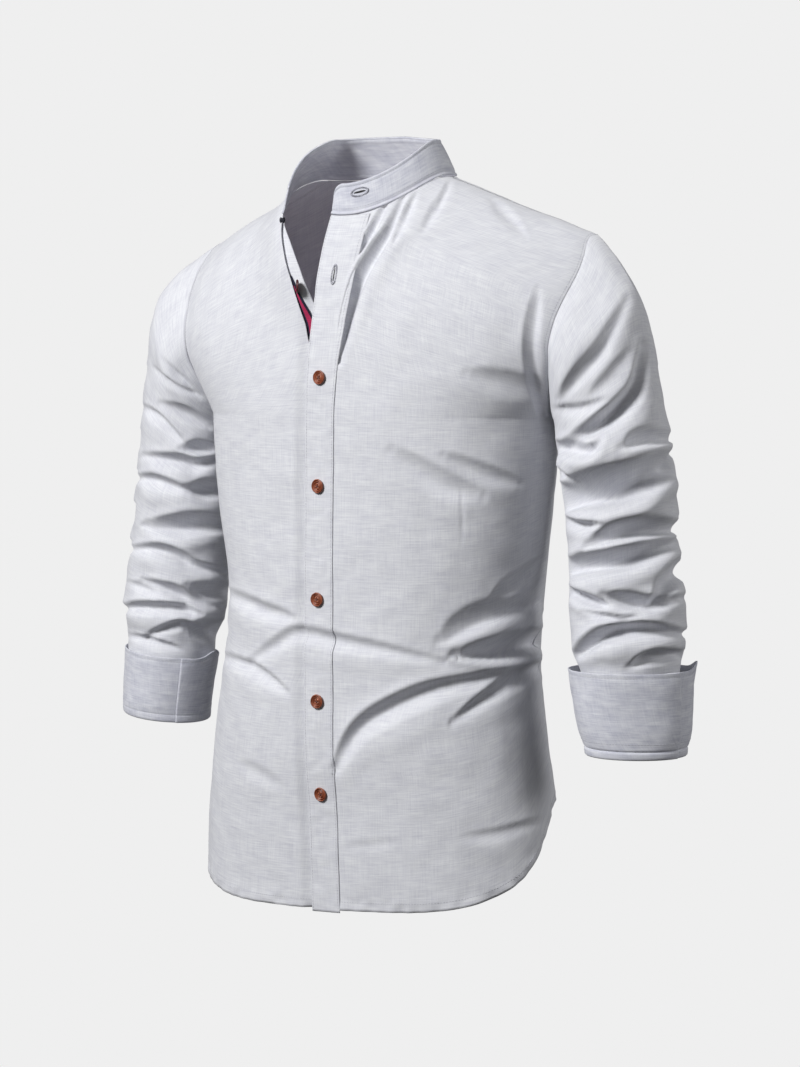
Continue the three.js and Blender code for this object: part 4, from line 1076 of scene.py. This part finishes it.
def cuff_grid(side, rows, end_turn, peak_turn, groove, lean):
    """Outer face of a turned-back cuff from inside the fold, round it and up to the free top edge."""
    foot, head = rows["height"][0], rows["height"][-1]
    tall = head - foot
    straight = np.concatenate([np.linspace(2.5, tall - 6, 15), tall - np.array(CUFF_EDGE_STEPS)])
    rise, out = np.array(CUFF_FOLD + [(up, 0) for up in straight]).T[..., None]
    out = out + bumps(tall - rise, CUFF_GROOVE) - groove * bell(rise, 0, CUFF_GROOVE_WIDTH)
    turn = end_turn - (360 + CUFF_OVERLAP) * np.linspace(0, 1, CUFF_COLUMNS)[None, ::-1]
    over = CUFF_OVERLAP_STEP * (1 - ease(0, 70, end_turn - turn))
    under = CUFF_UNDER_STEP * (1 - ease(0, 40, turn - turn[0, 0]))
    height = foot + rise
    from_peak = (turn - peak_turn + 180) % 360 - 180
    flare = bell(from_peak, 0, CUFF_PEAK_WIDTH) * ease(head - CUFF_PEAK_DEPTH, head, height)
    centre_x, centre_y = values(SLEEVE, "x y", height)
    swell = out + over - under + CUFF_PEAK_OUT * flare
    long, short = values(rows, "long short", height)
    along = (long + swell) * np.cos(np.radians(turn))
    beside = (short + swell) * np.sin(np.radians(turn))
    x = centre_x + (along - beside) * math.sqrt(0.5)
    y = centre_y + (along + beside) * math.sqrt(0.5)
    grid = np.stack([x * side, y, height + CUFF_PEAK_RISE * flare + lean * (x - centre_x)], -1)
    if side < 0:
        grid = grid[:, ::-1]
    uneven = sum(ripple(grid, *lumps) for lumps in CUFF_LUMPS)
    return raised(grid, uneven * ease(-2, 6, rise))


def open_edge_strip(strip, behind):
    """Strip of cloth that runs behind the open edge of the right front."""
    height = np.linspace(strip["height"][0], strip["height"][-1], 70)[:, None]
    across = np.linspace(0, 1, 12)[None, :]
    step = mix(*values(strip, "near far", height), across)
    grid = right_front(front_point(-value(OPEN_EDGE, "x", height) - step, height + 0 * step))
    grid[..., 1] += behind
    return press(grid, TORSO_CREASES, HIDDEN_TORSO_CREASES, 1.0)


# Stitches, buttonholes and buttons

def stitch_row(points, normals):
    """Stitches sunk along a line of points in mm, each as a place and three half axes."""
    along = lengths(points)
    spots = np.arange(STITCH_PITCH / 2, along[-1], STITCH_PITCH)

    def at(line, shift=0.0):
        return np.stack([np.interp(spots + shift, along, line[:, k]) for k in range(3)], -1)

    facing = unit(at(normals))
    forward = unit(at(points, 0.5) - at(points, -0.5))
    beside = unit(np.cross(facing, forward))
    centres = at(points) + facing * STITCH_PROUD
    half_axes = (forward * STITCH_HALF_LENGTH, beside * STITCH_HALF_WIDTH, facing * STITCH_HALF_WIDTH)
    return [stretched(*axes) for axes in zip(centres, *half_axes)]


def stretched(centre, forward, beside, outward):
    """Transform that takes a unit ball to a place and three half axes given in mm."""
    shape = Matrix.Identity(4)
    for column, axis in enumerate((forward, beside, outward, centre)):
        for row in range(3):
            shape[row][column] = axis[row] * MM
    return shape


def lay_threads(name, stitches, material):
    """One object of thread stitches, made up in batches because each ball added to a full mesh is slow."""
    threads = bmesh.new()
    for start in range(0, len(stitches), THREAD_BATCH):
        batch = bmesh.new()
        for shape in stitches[start:start + THREAD_BATCH]:
            bmesh.ops.create_uvsphere(batch, u_segments=6, v_segments=4, radius=1, matrix=shape)
        part = made_mesh(name, batch)
        threads.from_mesh(part)
        bpy.data.meshes.remove(part)
    new_object(name, made_mesh(name, threads), material)


def seen_at(grid, pixel):
    """Row and column of the grid point that shows at a pixel of the photograph."""
    off = np.linalg.norm(picture_place(grid.reshape(-1, 3)) - np.array(pixel), axis=1)
    return np.unravel_index(off.argmin(), grid.shape[:2])


def buttonhole(centre, facing, forward, length, half, slit):
    """A worked buttonhole: the stitches all round it, and a near-black blob sunk in its slit as painted
    shade.
    """
    beside = np.cross(facing, forward)
    stitches = []
    thick = facing * HOLE_STITCH_HALF_WIDTH
    for turn in np.linspace(0, 2 * math.pi, HOLE_STITCHES, endpoint=False):
        c, s = math.cos(turn), math.sin(turn)
        spot = centre + forward * (length / 2 * c) + beside * (half * s) + thick
        out = unit(forward * c * 0.6 + beside * s)
        stitches.append(stretched(spot, out * HOLE_STITCH_HALF_LENGTH, np.cross(thick, out), thick))
    deep = facing * SLIT_HALF_DEPTH
    return stitches, stretched(centre + deep, forward * length * SLIT_SHARE, beside * slit, deep)


def button_shape():
    """A round button about +Z with a raised rim, ring grooves and four holes, in mm."""
    shape = bmesh.new()
    verts = [shape.verts.new((out, 0, up)) for out, up in BUTTON_PROFILE]
    edges = [shape.edges.new(pair) for pair in zip(verts, verts[1:])]
    bmesh.ops.spin(shape, geom=verts + edges, cent=(0, 0, 0), axis=(0, 0, 1), angle=2 * math.pi, steps=40,
                   use_merge=True)
    bmesh.ops.remove_doubles(shape, verts=shape.verts, dist=1e-4)
    ring = [e for e in shape.edges if e.is_boundary]
    holes = []
    for turn in (45, 135, 225, 315):
        turn = math.radians(turn)
        place = (HOLE_OUT * math.cos(turn), HOLE_OUT * math.sin(turn), BUTTON_PROFILE[-1][1])
        spot = Matrix.Translation(place)
        made = bmesh.ops.create_circle(shape, segments=12, radius=HOLE_RADIUS, matrix=spot)
        holes += list({e for v in made["verts"] for e in v.link_edges})
    bmesh.ops.triangle_fill(shape, edges=ring + holes, use_beauty=True)
    walls = bmesh.ops.extrude_edge_only(shape, edges=holes)
    low = [item for item in walls["geom"] if isinstance(item, bmesh.types.BMVert)]
    bmesh.ops.translate(shape, verts=low, vec=(0, 0, -HOLE_DEPTH))
    bmesh.ops.recalc_face_normals(shape, faces=shape.faces)
    return shape


def place_button(name, node, seat, facing, spin, material):
    """Sets a button on its seat, with its thread crossing the four holes."""
    shape = button_shape()
    upward = Vector((0, 0, 1))
    turn = upward.rotation_difference(Vector(facing)).to_matrix().to_4x4()
    turn = turn @ Matrix.Rotation(math.radians(spin), 4, "Z")
    stand = Matrix.Translation(Vector(seat) * MM) @ turn
    bmesh.ops.transform(shape, matrix=stand @ Matrix.Scale(MM, 4), verts=shape.verts)
    button = new_object(name, made_mesh(name, shape), material)
    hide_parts(node)
    stitches = []
    for way in (1, -1):
        run = Vector((SEWN_HALF_LENGTH, SEWN_HALF_LENGTH * way, 0))
        beside = run.cross(upward).normalized()
        for aside in (-SEWN_ASIDE, SEWN_ASIDE):
            top = beside * aside + upward * SEWN_HEIGHT
            sewn = stretched(top, run, beside * SEWN_HALF_WIDTH, upward * SEWN_HALF_WIDTH)
            stitches.append(stand @ sewn)
    lay_threads(name + "_thread", stitches, BUTTON_THREAD)


# Camera and light

def place_camera():
    eye = camera_axes()[0]
    camera = placed("camera", bpy.data.cameras.new("camera"))
    camera.data.lens = LENS
    camera.data.sensor_width = SENSOR
    camera.data.sensor_fit = "AUTO"
    camera.location = Vector(eye * MM)
    camera.rotation_euler = (math.radians(90 - CAMERA_DIP), 0, math.radians(CAMERA_AZIMUTH))
    bpy.context.scene.camera = camera


def area_light(name, azimuth, elevation, away, size, power):
    """Soft light that faces the chest from a direction."""
    lamp = bpy.data.lights.new(name, "AREA")
    lamp.shape = "DISK"
    lamp.size = size
    lamp.energy = power
    turn, rise = math.radians(azimuth), math.radians(elevation)
    direction = Vector((math.sin(turn) * math.cos(rise), -math.cos(turn) * math.cos(rise), math.sin(rise)))
    light = placed(name, lamp)
    light.location = Vector(LIGHT_TARGET) + direction * away
    light.rotation_euler = direction.to_track_quat("Z", "Y").to_euler()
    return light


def backdrop_emission(nodes, links, output, light):
    """The backdrop's tone as seen, and a weaker one as light."""
    path = nodes.new("ShaderNodeLightPath")
    strength = add_node(nodes, "ShaderNodeMapRange", To_Min=light, To_Max=BACKDROP)
    links.new(path.outputs["Is Camera Ray"], strength.inputs["Value"])
    links.new(strength.outputs["Result"], output.inputs["Strength"])


def studio():
    world = bpy.data.worlds.new("studio")
    world.use_nodes = True
    bpy.context.scene.world = world
    nodes = world.node_tree.nodes
    nodes["Background"].inputs["Color"].default_value = (1, 1, 1, 1)
    backdrop_emission(nodes, world.node_tree.links, nodes["Background"], AMBIENT)
    floor_shape = bmesh.new()
    bmesh.ops.create_circle(floor_shape, cap_ends=True, segments=64, radius=FLOOR_RADIUS)
    bmesh.ops.translate(floor_shape, verts=floor_shape.verts, vec=(0, 0, FLOOR_HEIGHT))
    mesh = made_mesh("floor", floor_shape, smooth=False)
    floor = placed("floor", mesh)
    material, nodes, links, shader = new_material("pale_floor")
    nodes.remove(shader)
    glow = nodes.new("ShaderNodeEmission")
    links.new(glow.outputs[0], nodes["Material Output"].inputs["Surface"])
    backdrop_emission(nodes, links, glow, FLOOR_LIGHT)
    mesh.materials.append(material)
    area_light("key", **KEY_LIGHT)
    area_light("fill", **FILL_LIGHT)
    inside = area_light("inside", **INSIDE_LIGHT)
    inside.data.color = INSIDE_TINT
    inside.visible_camera = False


FACING_RED = slub_cloth("contrast_red", (0.30, 0.012, 0.055), (0.48, 0.03, 0.11))
NAVY_EDGE = slub_cloth("contrast_navy", (0.008, 0.008, 0.02), (0.02, 0.02, 0.05))
# Topstitching thread, a real thread, in a tone darker than the cloth that partly paints the shade along the
# seams
TOPSTITCH_THREAD_WITH_PAINTED_SHADE = thread_finish("topstitch_thread_with_painted_shade", (0.52, 0.525, 0.57))
# Buttonhole stitches in a thread darker than the pale one: painted shade of the shadowed stitched ring
HOLE_THREAD_PAINTED_SHADE = thread_finish("buttonhole_thread_painted_shade", (0.47, 0.475, 0.53))
BUTTON_THREAD = thread_finish("button_thread", (0.16, 0.06, 0.05))
# Near-black finish for the blobs sunk in the buttonhole slits: painted shade
SLIT_PAINTED_SHADE = thread_finish("painted_shade_slit", (0.02, 0.018, 0.02))
# Near-black finish of the dark blob at the head of the open edge
DARK_BLOB_FINISH = thread_finish("dark_blob_finish", (0.012, 0.012, 0.022))
BUTTON_WOOD = wood_finish("button_wood", (0.06, 0.013, 0.008), (0.50, 0.14, 0.06))
# A darker copy of the button wood for the open button: painted shade on its edge-on face
WOOD_PAINTED_SHADE = wood_finish("button_wood_painted_shade", (0.02, 0.005, 0.006), (0.12, 0.022, 0.025))

collar = collar_grid()
placket = placket_grid()
cuff_left = cuff_grid(1, CUFF_LEFT, NEAR_CUFF_END, NEAR_CUFF_PEAK, 1.5, 0)
cuff_right = cuff_grid(-1, CUFF_RIGHT, FAR_CUFF_END, FAR_CUFF_PEAK, 0.3, FAR_CUFF_LEAN)
# Collar and cuffs in the darker copy of the cloth: its darker tone is painted shade
cloth_piece("collar_cloth", collar, DOUBLED_CLOTH_PAINTED_SHADE, ["collar"], wall=COLLAR_WALL)
cloth_piece("placket_cloth", placket, CLOTH, ["placket"], wall=PLACKET_WALL)
cloth_piece("left_cuff_cloth", cuff_left, DOUBLED_CLOTH_PAINTED_SHADE, ["cuff_left"],
            wall=CUFF_WALL, anchor=CUFF_GRAIN)
cloth_piece("right_cuff_cloth", cuff_right, DOUBLED_CLOTH_PAINTED_SHADE, ["cuff_right"],
            wall=CUFF_WALL, anchor=CUFF_GRAIN)
cloth_piece("button_stand_cloth", open_edge_strip(STAND_STRIP, STAND_BEHIND), CLOTH, ["button_stand"],
            wall=STRIP_WALL)
cloth_piece("facing_cloth", open_edge_strip(RED_STRIP, RED_BEHIND), FACING_RED, ["contrast_facing"],
            wall=CONTRAST_WALL)
cloth_piece("navy_edge_cloth", open_edge_strip(NAVY_STRIP, NAVY_BEHIND), NAVY_EDGE, [],
            wall=CONTRAST_WALL)


def topstitching():
    """Stitches along the placket, collar, cuffs, hems and armholes, in a thread darker than the cloth that
    partly paints the seams' shade.
    """
    high = slice(int(LOW_SHARE * len(FRONT_ROWS)) + 2, None)
    lines = [(placket, np.s_[:, 3]), (placket, np.s_[:, -4]), (collar, 8), (collar, -6)]
    lines += [(cuff, row) for cuff in (cuff_left, cuff_right) for row in (len(CUFF_FOLD) + 1, -5)]
    lines += [(left_front_grid, 3), (left_front_grid, (high, -4)), (right_front_grid, 3),
              (right_front_grid, (high, 3)), (back_grid, 3), (back_grid, (high, 3)), (back_grid, (high, -4))]
    return [stitch for grid, line in lines for stitch in stitch_row(grid[line], grid_normals(grid)[line])]


def lay_buttonholes():
    """The empty buttonholes of the collar and of the placket's open top."""
    stitches = []
    slits = bmesh.new()
    for grid, pixel, step, sizes in ((collar, COLLAR_HOLE_PIXEL, (0, 3), COLLAR_HOLE_SIZE),
                                     (placket, PLACKET_HOLE_PIXEL, (3, 0), PLACKET_HOLE_SIZE)):
        row, column = seen_at(grid, pixel)
        forward = unit(grid[row + step[0], column + step[1]] - grid[row - step[0], column - step[1]])
        ring, slit = buttonhole(grid[row, column], grid_normals(grid)[row, column], forward, *sizes)
        stitches += ring
        bmesh.ops.create_uvsphere(slits, u_segments=16, v_segments=6, radius=1, matrix=slit)
    # The ring stitches take the darkened thread: painted shade
    lay_threads("buttonhole_threads", stitches, HOLE_THREAD_PAINTED_SHADE)
    # The slits' sunk blobs in near black: painted shade
    new_object("painted_shade_slits", made_mesh("painted_shade_slits", slits, smooth=False), SLIT_PAINTED_SHADE)


def open_edge_place(height, step, out):
    """Place in front of the right front, beside its open edge."""
    edge = float(value(OPEN_EDGE, "x", height))
    return right_front(front_point(np.array([-edge - step]), np.array([height])))[0] - np.array([0, out, 0])


def lay_buttons():
    """The closed buttons down the placket, and the open one on the right front in a darker copy of the wood
    that paints its shade.
    """
    normals = grid_normals(placket)
    middle = placket.shape[1] // 2
    for index, height in enumerate(BUTTON_HEIGHTS):
        row = int(np.abs(placket[:, middle, 2] - height).argmin())
        facing = normals[row, middle]
        seat = placket[row, middle] + facing * 0.5
        place_button(f"wood_button_{index + 1}", f"button_{index + 1}", seat, facing, 17 * index, BUTTON_WOOD)
    turn = math.radians(OPEN_BUTTON_TURN)
    seat = open_edge_place(OPEN_BUTTON_HEIGHT, OPEN_BUTTON_IN, OPEN_BUTTON_OUT)
    facing = np.array([-math.sin(turn), -math.cos(turn), 0])
    place_button("wood_button_open", "button_open", seat, facing, OPEN_BUTTON_SPIN, WOOD_PAINTED_SHADE)


def edge_dark_blob():
    """A near-black blob of crossing stitches at the head of the open edge."""
    centre = open_edge_place(BLOB_HEIGHT, BLOB_IN, BLOB_OUT)
    stitches = []
    for tilt in BLOB_TILTS:
        turn = math.radians(tilt)
        forward = np.array([math.cos(turn), 0, math.sin(turn)])
        beside = np.array([-math.sin(turn), 0, math.cos(turn)])
        outward = np.array([0, -BLOB_HALF_DEPTH, 0])
        stitches.append(stretched(centre, forward * BLOB_HALF_LENGTH, beside * BLOB_HALF_WIDTH, outward))
    return stitches


lay_threads("topstitching", topstitching(), TOPSTITCH_THREAD_WITH_PAINTED_SHADE)
lay_threads("edge_dark_blob", edge_dark_blob(), DARK_BLOB_FINISH)
lay_buttonholes()
lay_buttons()

place_camera()
studio()
bpy.context.scene.view_settings.view_transform = "Standard"
